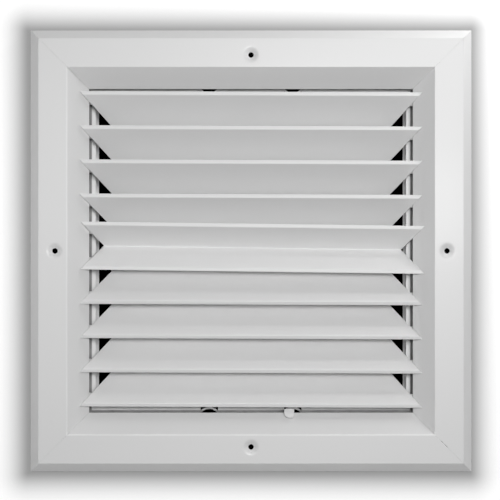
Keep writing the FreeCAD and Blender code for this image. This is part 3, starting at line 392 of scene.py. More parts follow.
class Surface(Tree):
    """A new material with its own principled shader and object coordinates."""

    def __init__(self, name: str) -> None:
        """Make the material.

        Args:
            name: Name of the material.
        """
        self.material = bpy.data.materials.new(name)
        self.material.use_nodes = True
        super().__init__(self.material.node_tree)
        self.shader = self.tree.nodes["Principled BSDF"]
        self.where = self.node("ShaderNodeTexCoord").outputs["Object"]

    def place(self, group: str, **values: object) -> bpy.types.NodeOutputs:
        """Put a shared group in the material.

        Args:
            group: Key of the group.
            **values: Values for its inputs, with underscores for spaces.

        Returns:
            The group's outputs.
        """
        node = self.node("ShaderNodeGroup", node_tree=GROUPS[group].tree)
        self.link(self.where, node.inputs["Vector"])
        self.put(node, **values)
        return node.outputs

    def tone(self, colour: Colour, **values: object) -> Socket:
        """Give the shader its uneven roughness.

        Args:
            colour: Base colour.
            **values: Values for the tone group.

        Returns:
            The uneven colour.
        """
        tone = self.place("tone", Color=(*colour, 1.0), **values)
        self.link(tone["Roughness"], self.shader.inputs["Roughness"])
        return tone["Color"]

    def tint(self, shade: Socket, mask: Socket, level: float) -> Socket:
        """Change a colour to a grey where a mask says.

        Args:
            shade: The colour so far.
            mask: Where the grey shows, from 0 to 1.
            level: The grey.

        Returns:
            The mixed colour.
        """
        mix = self.node("ShaderNodeMix", data_type="RGBA")
        self.link(mask, mix.inputs["Factor"])
        given = [socket for socket in mix.inputs if socket.type == "RGBA"]
        self.link(shade, given[0])
        given[1].default_value = (level, level, level, 1.0)
        return next(socket for socket in mix.outputs if socket.type == "RGBA")

    def finish(self, shade: Socket, height: Socket, strength: float, distance: float,
               **constants: float) -> Material:
        """Colour and raise the surface.

        Args:
            shade: The colour.
            height: Height of the relief from 0 to 1.
            strength: Share of the relief that shows.
            distance: Height of the relief in metres.
            **constants: Even values of the shader, with underscores for spaces.

        Returns:
            The finished material.
        """
        self.link(shade, self.shader.inputs["Base Color"])
        bump = self.node("ShaderNodeBump")
        self.put(bump, Strength=strength, Distance=distance)
        self.link(height, bump.inputs["Height"])
        self.link(bump.outputs["Normal"], self.shader.inputs["Normal"])
        self.put(self.shader, **constants)
        return self.material


@dataclass(frozen=True)
class PowderCoat:
    """Baked white powder on metal: even colour, soft sheen, faint orange peel.

    Two distances from the middle, in metres, turn on marks: the edge, which places a painted
    highlight on the arris and also turns on the mitre chips, and the start of a painted line of
    shade where the damper meets the neck; zero leaves either out.
    """

    name: str
    colour: Colour
    roughness: float = 0.42
    peel: float = 0.5
    lump_scale: float = 550.0
    spread: float = 0.03
    gloss: float = 0.1
    gloss_roughness: float = 0.16
    specular: float = 0.4
    peel_height: float = 0.00003
    highlight_level: float = 0.95
    chip_level: float = 0.3
    neck_shade_level: float = 0.09
    edge: float = 0.0
    neck_shade: float = 0.0

    def make(self) -> Material:
        """Build the material.

        Returns:
            The material.
        """
        surface = Surface(self.name)
        shade = surface.tone(self.colour, Spread=self.spread, Roughness=self.roughness)
        if self.edge:
            highlight_and_chips = surface.place("highlight_and_chips", Edge=self.edge)
            # Painted highlight along the arris, then dark chips on the mitre.
            shade = surface.tint(shade, highlight_and_chips["Painted Highlight"], self.highlight_level)
            shade = surface.tint(shade, highlight_and_chips["Chips"], self.chip_level)
        if self.neck_shade:
            # Painted shade: a dark line where the damper's flange meets the neck.
            neck_shade = surface.place("neck_shade", Start=self.neck_shade)
            shade = surface.tint(shade, neck_shade["Mask"], self.neck_shade_level)
        peel = surface.place("peel", Lump_Scale=self.lump_scale)
        return surface.finish(shade, peel["Height"], self.peel, self.peel_height,
                              Specular_IOR_Level=self.specular, Coat_Weight=self.gloss,
                              Coat_Roughness=self.gloss_roughness)


@dataclass(frozen=True)
class BareMetal:
    """Plain or plated metal with drawing lines and a mottled shade."""

    name: str
    colour: Colour
    roughness: float = 0.34
    lay: Lay = Lay.NONE
    spread: float = 0.25
    relief: float = 0.35
    line_height: float = 0.00002

    def make(self) -> Material:
        """Build the material.

        Returns:
            The material.
        """
        surface = Surface(self.name)
        shade = surface.tone(self.colour, Spread=self.spread, Patch_Scale=160.0,
                             Speck_Scale=1500.0, Roughness=self.roughness,
                             Roughness_Spread=0.3)
        across, through, up = self.lay.value
        lines = surface.place("lines", Along_X=across, Along_Y=through, Along_Z=up)
        return surface.finish(shade, lines["Lines"], self.relief, self.line_height,
                              Metallic=1.0)


FINISHES = {
    # The frame's powder paints a highlight along its inner arris.
    "frame_paint": PowderCoat("frame_powder", (0.71, 0.71, 0.71), edge=0.1234),
    "louvre_paint": PowderCoat("louvre_powder", (0.75, 0.75, 0.75), roughness=0.5, gloss=0.0),
    # The damper's enamel paints a line of shade where its flange meets the neck.
    "damper_paint": PowderCoat("damper_enamel", (0.84, 0.84, 0.84), roughness=0.5, peel=0.7,
                               neck_shade=0.1099, lump_scale=380.0, spread=0.05),
    "lever_paint": PowderCoat("lever_enamel", (0.80, 0.80, 0.80), roughness=0.35),
    "key_plate": BareMetal("mill_plate", (0.62, 0.63, 0.64), lay=Lay.ACROSS),
    "zinc": BareMetal("zinc_plate", (0.60, 0.61, 0.62)),
}
MATERIALS = {slot: finish.make() for slot, finish in FINISHES.items()}


# ---- surfaces

def rounded(corners: Array, radius: float | Array, steps: int = 4) -> Array:
    """Replace each corner of a closed outline by an arc that touches both sides.

    With unit vectors to the two neighbours and half the angle between them, the arc's centre
    lies on their bisector at radius over the sine, and its ends at radius over the tangent.
    The points between turn evenly from one end's direction to the other's.

    Args:
        corners: Outline corners, shape (n, 2).
        radius: One radius, or one for each corner.
        steps: Straight pieces in each arc.

    Returns:
        Points of shape (n, steps + 1, 2).
    """
    corners = np.asarray(corners, dtype=float)
    radii = np.broadcast_to(radius, len(corners)).astype(float)[:, None]
    before = np.roll(corners, 1, axis=0) - corners
    after = np.roll(corners, -1, axis=0) - corners
    before /= np.linalg.norm(before, axis=1, keepdims=True)
    after /= np.linalg.norm(after, axis=1, keepdims=True)
    middle = before + after
    middle /= np.linalg.norm(middle, axis=1, keepdims=True)
    cosine = np.clip((before * after).sum(axis=1, keepdims=True), -1.0, 1.0)
    half = np.arccos(cosine) / 2
    centre = corners + middle * radii / np.sin(half)
    first = (corners + before * radii / np.tan(half) - centre) / radii
    last = (corners + after * radii / np.tan(half) - centre) / radii
    turn = (math.pi - 2 * half)[:, None]
    share = np.linspace(0.0, 1.0, steps + 1)[None, :, None]
    blend = (np.sin((1 - share) * turn) * first[:, None]
             + np.sin(share * turn) * last[:, None]) / np.sin(turn)
    return centre[:, None] + radii[:, None] * blend


def outward(outline: Array) -> Array:
    """Unit normals of a closed outline, as the quarter turn of the line between neighbours.

    Args:
        outline: Points in order, shape (n, 2).

    Returns:
        Normals of shape (n, 2) that point out of the area.
    """
    chord = np.roll(outline, -1, axis=0) - np.roll(outline, 1, axis=0)
    normal = np.stack([chord[:, 1], -chord[:, 0]], axis=1)
    normal /= np.linalg.norm(normal, axis=1, keepdims=True)
    following = np.roll(outline, -1, axis=0)
    area = (outline[:, 0] * following[:, 1] - following[:, 0] * outline[:, 1]).sum()
    return normal if area > 0 else -normal


@dataclass(frozen=True)
class Place:
    """A turn about Y, in degrees, and then a lift."""

    turn: float = 0.0
    lift: float = 0.0

    def put(self, points: Array) -> Array:
        """Place points.

        Args:
            points: Shape (..., 3).

        Returns:
            The placed points: X and Z turn by the angle, and Z rises by the lift.
        """
        angle = math.radians(self.turn)
        x, y, z = points[..., 0], points[..., 1], points[..., 2]
        return np.stack([x * math.cos(angle) + z * math.sin(angle), y,
                         z * math.cos(angle) - x * math.sin(angle) + self.lift], axis=-1)


@dataclass
class Shell:
    """Vertices and faces of one piece, gathered grid by grid."""

    points: list[Array] = field(default_factory=list)
    faces: list[list[int]] = field(default_factory=list)
    count: int = 0

    def grid(self, points: Array, wrap_rows: bool = False, wrap_columns: bool = False,
             keep: Array | None = None) -> Array:
        """Add a surface given on a grid of two parameters.

        Args:
            points: Shape (rows, columns, 3).
            wrap_rows: Whether the last row joins the first.
            wrap_columns: Whether the last column joins the first.
            keep: Mask of the quads that are made, or None for all.

        Returns:
            The vertex numbers, shape (rows, columns).
        """
        rows, columns = points.shape[:2]
        index = self.count + np.arange(rows * columns).reshape(rows, columns)
        down = np.roll(index, -1, axis=0)
        across = np.roll(index, -1, axis=1)
        both = np.roll(down, -1, axis=1)
        quads = np.stack([index, down, both, across], axis=-1)
        quads = quads[:rows if wrap_rows else rows - 1, :columns if wrap_columns else columns - 1]
        chosen = quads.reshape(-1, 4) if keep is None else quads[keep]
        self.points.append(points.reshape(-1, 3))
        self.faces.extend(chosen.tolist())
        self.count += rows * columns
        return index

    def cap(self, loop: Array) -> None:
        """Close a flat loop of vertex numbers with one face."""
        self.faces.append(loop.tolist())

    def make(self, piece: "Piece") -> None:
        """Turn the gathered grids into one piece."""
        mesh = new_mesh(piece.name, np.concatenate(self.points) * MM, self.faces)
        even_shading(piece.show(mesh), True)


def new_mesh(name: str, points: Array, faces: list[list[int]]) -> Mesh:
    """Make a mesh, with its doubles merged.

    Args:
        name: Name of the mesh.
        points: Shape (n, 3), in metres.
        faces: Vertex numbers of each face.

    Returns:
        The mesh.
    """
    mesh = bpy.data.meshes.new(name)
    mesh.from_pydata(points.tolist(), [], faces)
    cleaned(mesh)
    return mesh


def placed(name: str, data: bpy.types.ID) -> bpy.types.Object:
    """Make an object of some data and put it in the scene.

    Args:
        name: Name of the object.
        data: Its mesh, lamp or camera.

    Returns:
        The object.
    """
    thing = bpy.data.objects.new(name, data)
    bpy.context.scene.collection.objects.link(thing)
    return thing


def even_shading(thing: bpy.types.Object, keep_sharp: bool) -> None:
    """Weigh a piece's normals by area."""
    thing.modifiers.new("even_shading", "WEIGHTED_NORMAL").keep_sharp = keep_sharp


@dataclass(frozen=True)
class Piece:
    """A visible piece, with the node it stands for, its finish and its body.

    Edges sharper than the sharp angle, in degrees, are not smoothed.
    """

    name: str
    node: str
    slot: str
    body: str = "root"
    sharp: float = 35.0

    def show(self, mesh: Mesh) -> bpy.types.Object:
        """Smooth a mesh, dress it and let it stand for the node.

        Args:
            mesh: The piece's mesh.

        Returns:
            The piece's object.
        """
        mesh.shade_smooth()
        mesh.set_sharp_from_angle(angle=math.radians(self.sharp))
        mesh.materials.append(MATERIALS[self.slot])
        thing = placed(self.name, mesh)
        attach(thing, self.body)
        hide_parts(self.node)
        log.info("%s: %d faces", self.name, len(mesh.polygons))
        return thing


def cleaned(mesh: Mesh, flatten: bool = False) -> None:
    """Merge a mesh's doubles and turn its faces outwards.

    Args:
        mesh: The mesh, which is changed.
        flatten: Whether neighbouring faces in one plane become one.
    """
    work = bmesh.new()
    work.from_mesh(mesh)
    bmesh.ops.remove_doubles(work, verts=work.verts, dist=VERY_NEAR if flatten else NEAR)
    if flatten:
        bmesh.ops.dissolve_limit(work, angle_limit=math.radians(FLAT), verts=work.verts,
                                 edges=work.edges)
    bmesh.ops.recalc_face_normals(work, faces=work.faces)
    work.to_mesh(mesh)
    work.free()


def extrusion(shell: Shell, section: Array, ends: Array, place: Place, rise: float,
              shift: float = 0.0, ease: float = 0.12, inner: Array | None = None,
              window: Array | None = None) -> None:
    """Carry a closed section along X, with eased ends cut where each section point says.

    A point at depth d and height h of the section runs from minus its end to plus its end;
    the last bit at each end is drawn in by the ease along the section's normal.

    Args:
        shell: Takes the surface.
        section: Depth and height of each point, shape (n, 2).
        ends: Half length at each point, shape (n,).
        place: Where the piece stands.
        rise: Depth of the wall plane behind the flat.
        shift: Distance the piece stands to the right.
        ease: Easing of the end edges.
        inner: Places of extra stations along X.
        window: Mask of the quads that are kept.
    """
    middle = np.array([0.0]) if inner is None else inner
    drawn = section - outward(section) * ease
    run = np.concatenate([
        np.stack([-ends, -(ends - ease)], axis=1),
        np.broadcast_to(middle, (len(ends), len(middle))),
        np.stack([ends - ease, ends], axis=1)], axis=1)
    flat = np.broadcast_to(section[:, None], (*run.shape, 2)).copy()
    flat[:, [0, -1]] = drawn[:, None]
    points = np.stack([run + shift, flat[..., 0] - rise, flat[..., 1]], axis=-1)
    index = shell.grid(place.put(points), wrap_rows=True, keep=window)
    shell.cap(index[:, 0])
    shell.cap(index[::-1, -1])


def turned(shell: Shell, profile: Array, origin: Array, axis: Array, steps: int = 24) -> None:
    """Revolve a closed profile about a level axis.

    Args:
        shell: Takes the surface.
        profile: Height along the axis and radius of each point, shape (n, 2).
        origin: A point of the axis.
        axis: Unit vector of the axis.
        steps: Points round the axis.
    """
    angle = np.linspace(0.0, 2 * math.pi, steps, endpoint=False)[:, None]
    side = np.cross(axis, (0.0, 0.0, 1.0))
    side /= np.linalg.norm(side)
    ring = np.cos(angle) * side + np.sin(angle) * np.cross(axis, side)
    points = origin + profile[:, None, :1] * axis + profile[:, None, 1:] * ring
    shell.grid(points, wrap_columns=True)


# ---- the front

@dataclass
class Flange:
    """Four mitred lengths of one section: bevel, flat, slope, neck and key channel."""

    rise: float = 6.0
    bevel: float = 6.5
    flat: float = 19.3
    slope: float = 13.4
    wall: float = 1.4
    overlap: float = 25.4
    neck_end: float = 40.0
    mitre_gap: float = 0.03
    mitre_ease: float = 0.04
    key_setback: float = 15.6
    key_half: float = 5.25
    key_depth: float = 3.7
    rib: float = 1.2
    hook: float = 1.5
    hook_wall: float = 0.9
    screw_setback: float = 17.5
    hole: float = 1.85
    dish: float = 5.2
    dish_depth: float = 1.6
    window: float = 6.4
    window_steps: int = 12
    dish_shoulder: float = 0.45
    dish_rings: int = 9
    ease: float = 0.2
    corner_radii: tuple[float, ...] = (0.25, 0.7, 0.8, 0.3, 0.3, 0.5, 0.25, 0.25, 0.3, 0.3, 0.25)
    half: float = CAD_BOX[1][0] / MM

    @property
    def flat_out(self) -> float:
        """Outer edge of the flat, from the middle."""
        return self.half - self.bevel

    @property
    def mitre_half(self) -> float:
        """Half of the mitre gap, along the member."""
        return self.mitre_gap / math.sqrt(2)

    @property
    def flat_in(self) -> float:
        """Inner edge of the flat, from the middle."""
        return self.flat_out - self.flat

    @property
    def lip(self) -> float:
        """Inner lip of the slope, from the middle."""
        return self.flat_in - self.slope

    @property
    def neck_out(self) -> float:
        """Outside of the neck, from the middle."""
        return self.half - self.overlap

    def section(self) -> tuple[Array, int, int]:
        """Section of the wall, with extra points across the screw hole's window.

        The corners follow the bevel, the flat, the slope, the lip, the back of the slope, the
        neck and the back of the flat; each is an arc.

        Returns:
            The outline as depth and distance from the middle, and the rows at which the
            front and the back window start.
        """
        root = math.sqrt(2)
        back = self.wall * math.hypot(self.bevel, self.rise) / self.rise
        foot = self.half - back
        corners = np.array([
            (self.rise, self.half),
            (0.0, self.flat_out),
            (0.0, self.flat_in),
            (self.slope, self.lip),
            (self.slope + self.wall / root, self.lip + self.wall / root),
            (self.flat_in + self.wall * root - self.neck_out + self.wall,
             self.neck_out - self.wall),
            (self.neck_end, self.neck_out - self.wall),
            (self.neck_end, self.neck_out),
            (self.wall, self.neck_out),
            (self.wall, foot - (self.rise - self.wall) * self.bevel / self.rise),
            (self.rise, foot)])
        arcs = rounded(corners, self.corner_radii)
        line = self.half - self.screw_setback
        across = np.linspace(line - self.window, line + self.window, self.window_steps + 1)
        front = np.stack([np.zeros_like(across), across[::-1]], axis=1)
        rear = np.stack([np.full_like(across, self.wall), across], axis=1)
        head = arcs[:2].reshape(-1, 2)
        middle = arcs[2:9].reshape(-1, 2)
        outline = np.concatenate([head, front, middle, rear, arcs[9:].reshape(-1, 2)])
        return outline, len(head), len(head) + len(front) + len(middle)

    def dimple(self, shell: Shell, place: Place) -> None:
        """The pressed seat, its hole and its back, as rings from square to square.

        Each ring keeps the direction of a point on the window's edge and takes its own depth
        and radius, so the surface is a function of direction and ring. The dish sinks with the
        share of the way in: by half the share, half a raised cosine and a quarter of its cube,
        all over 1.25 and times the share to the power 0.35.

        Args:
            shell: Takes the surface.
            place: Turn of the member.
        """
        step = np.linspace(-self.window, self.window, self.window_steps + 1)[:-1]
        low = np.full_like(step, -self.window)
        square = np.concatenate([np.stack([step, low], 1), np.stack([-low, step], 1),
                                 np.stack([-step, -low], 1), np.stack([low, -step], 1)])
        direction = square / np.linalg.norm(square, axis=1, keepdims=True)
        share = np.linspace(0.0, 1.0, self.dish_rings)
        rim = self.dish + self.dish_shoulder
        radius = rim - share * (rim - self.hole)
        sink = self.dish_depth * (0.5 * share + 0.5 * (1 - np.cos(math.pi * share)) / 2
                                  + 0.25 * share ** 3) / 1.25 * share ** 0.35
        floor = self.dish_depth + self.wall
        rings = np.concatenate([
            np.stack([sink, radius], axis=1),
            [(floor - self.ease, self.hole), (floor, self.hole + self.ease),
             (floor, self.hole + self.wall - self.ease),
             (floor - self.ease, self.hole + self.wall), (self.wall, self.dish)]])
        circles = rings[:, None, 1:] * direction[None]
        flat = np.concatenate([square[None], circles, square[None]])
        depth = np.concatenate([[0.0], rings[:, 0], [self.wall]])
        line = self.half - self.screw_setback
        points = np.stack([flat[..., 0],
                           np.broadcast_to(depth[:, None], flat.shape[:2]) - self.rise,
                           flat[..., 1] + line], axis=-1)
        shell.grid(place.put(points), wrap_columns=True)

    def ribs(self, shell: Shell, place: Place) -> None:
        """The two hooked ribs of the key channel, rooted in the back of the flat.

        Args:
            shell: Takes the surfaces.
            place: Turn of the member.
        """
        line = self.half - self.key_setback
        end = self.key_depth + self.hook_wall
        for side in (-1, 1):
            near = line + side * self.key_half
            far = near + side * self.rib
            tip = near - side * self.hook
            corners = np.array([(self.wall / 2, far), (self.wall / 2, near),
                                (self.key_depth, near), (self.key_depth, tip),
                                (end, tip), (end, far)])
            outline = rounded(corners, self.ease, 3).reshape(-1, 2)
            extrusion(shell, outline, outline[:, 1] - self.mitre_half, place,
                      self.rise)

    def build(self) -> None:
        """Make the four members and let each stand for its node."""
        outline, front, rear = self.section()
        inner = np.linspace(-self.window, self.window, self.window_steps + 1)
        keep = np.ones((len(outline), len(inner) + 3), dtype=bool)
        for start in (front, rear):
            keep[start:start + self.window_steps, 2:2 + self.window_steps] = False
        ends = outline[:, 1] - self.mitre_half
        for side, turn in (("top", 0.0), ("right", 90.0), ("bottom", 180.0), ("left", 270.0)):
            shell = Shell()
            place = Place(turn)
            extrusion(shell, outline, ends, place, self.rise, ease=self.mitre_ease, inner=inner,
                      window=keep)
            self.dimple(shell, place)
            self.ribs(shell, place)
            shell.make(Piece(f"{side}_flange", f"{side}_frame_member", "frame_paint"))


@dataclass
class Louvres:
    """The nine fixed blades, their bored bosses and the screws that hold them."""

    flange: Flange
    per_side: int = 4
    lip_plane: float = 5.9
    lip: float = 2.4
    lip_set: float = 0.8
    wall: float = 1.2
    reach: float = 20.6
    margin: float = 3.4
    centre_half: float = 16.2
    centre_reach: float = 14.4
    centre_step: float = 21.1
    raise_all: float = 1.0
    raise_centre: float = 1.15
    centre_shift: float = 1.0
    lean: float = 0.24
    centre_lean: float = 0.74
    end_gap: float = 1.7
    centre_end_gap: float = 1.3
    relief: float = 0.3
    boss: float = 2.3
    bore: float = 1.45
    boss_drop: float = 6.0
    boss_depth: float = 17.5
    boss_end_gap: float = 0.25
    head_gap: float = 0.2
    web_ease: float = 0.1

    def places(self) -> list[tuple[str, Place, list[float]]]:
        """Name, place and boss heights of each louvre, from the top down."""
        first = self.centre_half + self.centre_step
        pitch = (self.flange.lip - self.margin - first) / (self.per_side - 1)
        heights = [first + pitch * step for step in range(self.per_side)]
        drop = -self.boss_drop
        upper = [(f"louvre_{number + 1}", Place(self.lean, self.raise_all + height), [drop])
                 for number, height in enumerate(reversed(heights))]
        lower = [(f"louvre_{self.per_side + number + 1}",
                  Place(180.0 + self.lean, self.raise_all - height), [drop])
                 for number, height in enumerate(heights)]
        centre = self.centre_half - self.boss_drop
        middle = [("centre_louvre", Place(self.centre_lean, self.raise_all + self.raise_centre),
                   [centre, -centre])]
        return upper + middle + lower

    @property
    def bend(self) -> float:
        """Height of the V's bends above its middle."""
        return self.centre_half - self.lip

    @property
    def slant(self) -> float:
        """Length of one face of the V, from a bend to the vertex."""
        return math.hypot(self.bend, self.centre_reach)

    @property
    def vertex(self) -> float:
        """Depth of the V's vertex."""
        return self.lip_plane + self.centre_reach

    def single_section(self) -> Array:
        """Outline of a single blade: flat lip, bend, face at 45 degrees, and back."""
        front, edge = self.lip_plane, self.lip + self.reach
        skew = self.wall / math.sqrt(2)
        behind = self.wall * math.sqrt(2) - self.lip - self.wall
        corners = [(front + self.lip_set, 0.0), (front, -self.lip), (front + self.reach, -edge),
                   (front + self.reach + skew, skew - edge), (front + self.wall, behind),
                   (front + self.lip_set + self.wall, 0.0)]
        return rounded(corners, [0.35, 0.9, 0.3, 0.3, 0.4, 0.35]).reshape(-1, 2)

    def centre_section(self) -> Array:
        """Outline of the V: two lips and two faces that meet at the back."""
        bend, slant, vertex = self.bend, self.slant, self.vertex
        rear_bend = bend + self.wall * (slant - bend) / self.centre_reach
        upper = [(vertex, 0.0), (self.lip_plane, bend), (self.lip_plane, self.centre_half),
                 (self.lip_plane + self.wall, self.centre_half),
                 (self.lip_plane + self.wall, rear_bend)]
        behind = [(vertex + self.wall * slant / bend, 0.0)]
        lower = [(depth, -height) for depth, height in reversed(upper[1:])]
        radii = [0.7, 0.9, 0.35, 0.35, 0.4, 0.9, 0.4, 0.35, 0.35, 0.9]
        return rounded(upper + behind + lower, radii).reshape(-1, 2)

    def webs(self, height: float, double: bool) -> Array:
        """Corners of the web between a boss and the back of its blade.

        Args:
            height: Height of the boss in the louvre's own frame.
            double: Whether the louvre is the V.

        Returns:
            Four corners as depth and height.
        """
        if double:
            along = np.array([-self.bend, -self.centre_reach]) / self.slant
            face = self.bend * (self.vertex - self.boss_depth) / self.centre_reach
            reach = (abs(height) - face) * self.centre_reach / self.slant - self.wall / 2
        else:
            along = np.array([-math.sqrt(0.5), -math.sqrt(0.5)])
            reach = ((self.boss_depth + self.lip - self.lip_plane + height) / math.sqrt(2)
                     - self.wall / 2)
        across = np.array([-along[1], along[0]]) * self.wall / 2
        start = np.array([self.boss_depth, abs(height) if double else height])
        corners = np.array([start + across, start - across, start - across + along * reach,
                            start + across + along * reach])
        if double and height < 0:
            corners[:, 1] *= -1
        return corners

    def ends(self, section: Array, double: bool) -> Array:
        """Half length of a louvre at each point: widest at the lips, tapering to the tail.

        Seen from the front the end is a straight line; behind the lip it is cut back so that
        it clears the frame's slope.

        Args:
            section: Depth and height of each point in the louvre's own frame.
            double: Whether the louvre is the V.

        Returns:
            Half lengths, one for each point.
        """
        gap = self.centre_end_gap if double else self.end_gap
        tip = self.flange.flat_in - gap - self.lip_plane
        depths, heights = section[:, 0], section[:, 1]
        if double:
            taper = self.centre_reach / self.centre_half
            ends = tip - taper * (self.centre_half - np.abs(heights))
        else:
            ends = tip + self.reach / (self.lip + self.reach) * heights
        clear = self.flange.flat_in - depths - self.relief - (self.centre_shift if double else 0.0)
        return np.where(depths < self.flange.slope, np.minimum(ends, clear), ends)

    def build(self) -> None:
        """Make every louvre with its bosses, and all the screws."""
        rise = self.flange.rise
        neck = self.flange.neck_out - self.flange.wall
        boss_end = neck - self.boss_end_gap
        seat = self.flange.neck_out + self.head_gap
        origins, axes = [], []
        for name, place, heights in self.places():
            double = len(heights) == 2
            section = self.centre_section() if double else self.single_section()
            shift = self.centre_shift if double else 0.0
            shell = Shell()
            extrusion(shell, section, self.ends(section, double), place, rise, shift)
            tube = np.array([(-boss_end, self.bore), (-boss_end, self.boss),
                             (boss_end, self.boss), (boss_end, self.bore),
                             (-boss_end, self.bore)])
            for height in heights:
                web = rounded(self.webs(height, double), self.web_ease, 2).reshape(-1, 2)
                extrusion(shell, web, np.full(len(web), self.flange.half / 2), place, rise)
                line = place.put(np.array([[0.0, self.boss_depth - rise, height],
                                           [1.0, self.boss_depth - rise, height]]))
                turned(shell, tube, line[0], line[1] - line[0])
                for side in (-1, 1):
                    spot = place.put(np.array([side * seat, self.boss_depth - rise, height]))
                    origins.append(spot)
                    axes.append(side * (line[1] - line[0]))
            shell.make(Piece(f"{name}_blade", name, "louvre_paint"))
        self.screws("neck_screws", np.array(origins), np.array(axes), "louvre_screws")
        depth = np.mean([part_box("damper_screws")[0][1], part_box("damper_screws")[1][1]]) / MM
        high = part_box("damper_screws")[1][2] / MM - Screw().head
        spots = np.array([(side * seat, depth, up * high) for side in (-1, 1) for up in (-1, 1)])
        lines = np.array([(np.sign(spot[0]), 0.0, 0.0) for spot in spots])
        self.screws("case_screws", spots, lines, "damper_screws")

    @staticmethod
    def screws(name: str, origins: Array, axes: Array, node: str) -> None:
        """Make a set of screws as one piece.

        Args:
            name: Name of the piece.
            origins: Middle of each head's underside.
            axes: Unit vectors out of each head.
            node: Node the piece stands for.
        """
        shell = Shell()
        for origin, axis in zip(origins, axes):
            Screw().add(shell, origin, axis)
        shell.make(Piece(name, node, "zinc", sharp=40.0))


@dataclass
class Screw:
    """A pan-head sheet-metal screw with a cross recess."""

    shank: float = 1.4
    length: float = 12.0
    head: float = 2.8
    height: float = 1.6
    recess: float = 0.45
    recess_reach: float = 1.7
    recess_depth: float = 1.0
    side_run: float = 0.12
    end_run: float = 0.25
    steps: int = 48

    def add(self, shell: Shell, origin: Array, axis: Array) -> None:
        """Add one screw.

        Height is a function of direction and distance: a low dome, which is the height times
        the root of one less the cube of 0.92 times the share of the way out, less the recess
        wherever the distance from either arm's line is under half its width. Both of the
        recess's limits fade over a short run.

        Args:
            shell: Takes the surface.
            origin: Middle of the head's underside.
            axis: Unit vector out of the head.
        """
        share = np.array([0.0, 0.1, 0.16, 0.2, 0.3, 0.4, 0.5, 0.58, 0.62, 0.7, 0.8, 0.9, 0.97,
                          1.0])
        radius = share * self.head
        dome = self.height * np.where(share < 1.0, np.sqrt(1 - (share * 0.92) ** 3), 0.3)
        angle = np.linspace(0.0, 2 * math.pi, self.steps, endpoint=False)
        across = radius[:, None] * np.abs(np.sin(angle))[None]
        along = radius[:, None] * np.abs(np.cos(angle))[None]
        arm = np.clip((self.recess - np.minimum(across, along)) / self.side_run, 0.0, 1.0)
        inside = np.clip((self.recess_reach - radius) / self.end_run, 0.0, 1.0)[:, None]
        top = dome[:, None] - self.recess_depth * arm * inside
        below = np.array([(0.0, self.head), (0.0, self.shank), (-self.length * 0.72, self.shank),
                          (-self.length + 0.3, 0.35), (-self.length, 0.0)])
        height = np.concatenate([top, np.broadcast_to(below[:, :1], (5, self.steps))])
        spread = np.concatenate([radius, below[:, 1]])
        up = np.array([0.0, 1.0, 0.0])
        side = np.cross(axis, up)
        side /= np.linalg.norm(side)
        other = np.cross(axis, side)
        ring = np.cos(angle)[:, None] * side + np.sin(angle)[:, None] * other
        points = origin + height[..., None] * axis + spread[:, None, None] * ring[None]
        shell.grid(points, wrap_columns=True)


# ---- damper and linkage

@dataclass
class Eased:
    """Copies of plain pieces with their edges eased, as folded, sheared or turned metal has.

    Each piece keeps its node's surface. Only edges sharper than the limit are rounded, by an
    arc whose width is the ease.
    """

    ease: float = 0.16
    limit: float = 40.0
    steps: int = 2

    def copy(self, node: str, body: str, slot: str) -> None:
        """Make the eased copy of one node and let it stand for the node.

        Args:
            node: Name of the node.
            body: Body it rides on.
            slot: Material slot it takes its finish from.
        """
        mesh = frame["nodes"][node].data.copy()
        cleaned(mesh, flatten=True)
        mesh.materials.clear()
        piece = Piece(f"{node}_eased", node, slot, body, self.limit).show(mesh)
        bevel = piece.modifiers.new("eased_edges", "BEVEL")
        bevel.width = self.ease * MM
        bevel.segments = self.steps
        bevel.limit_method = "ANGLE"
        bevel.angle_limit = math.radians(self.limit)
        bevel.harden_normals = False
        even_shading(piece, False)

    def build(self) -> None:
        """Ease every node that no new piece stands for yet."""
        slots = {part["node"]: part["material_slot"] for part in frame["record"]["subparts"]}
        for body, nodes in frame["record"]["behaviour"]["bodies"].items():
            for node in nodes:
                if not frame["nodes"][node].hide_render:
                    self.copy(node, body, slots[node])


# ---- stage

@dataclass(frozen=True)
class Lamp:
    """A soft square lamp aimed at the middle: power in watts, side in metres, and place."""

    name: str
    power: float
    size: float
    spot: tuple[float, float, float]

    def hang(self) -> None:
        """Put the lamp in the scene, turned so that it shines at the origin."""
        data = bpy.data.lights.new(self.name, "AREA")
        data.energy = self.power
        data.size = self.size
        lamp = placed(self.name, data)
        away = np.array(self.spot) / np.linalg.norm(self.spot)
        lamp.location = self.spot
        lamp.rotation_euler = (math.acos(away[2]), 0.0, math.atan2(away[0], -away[1]))


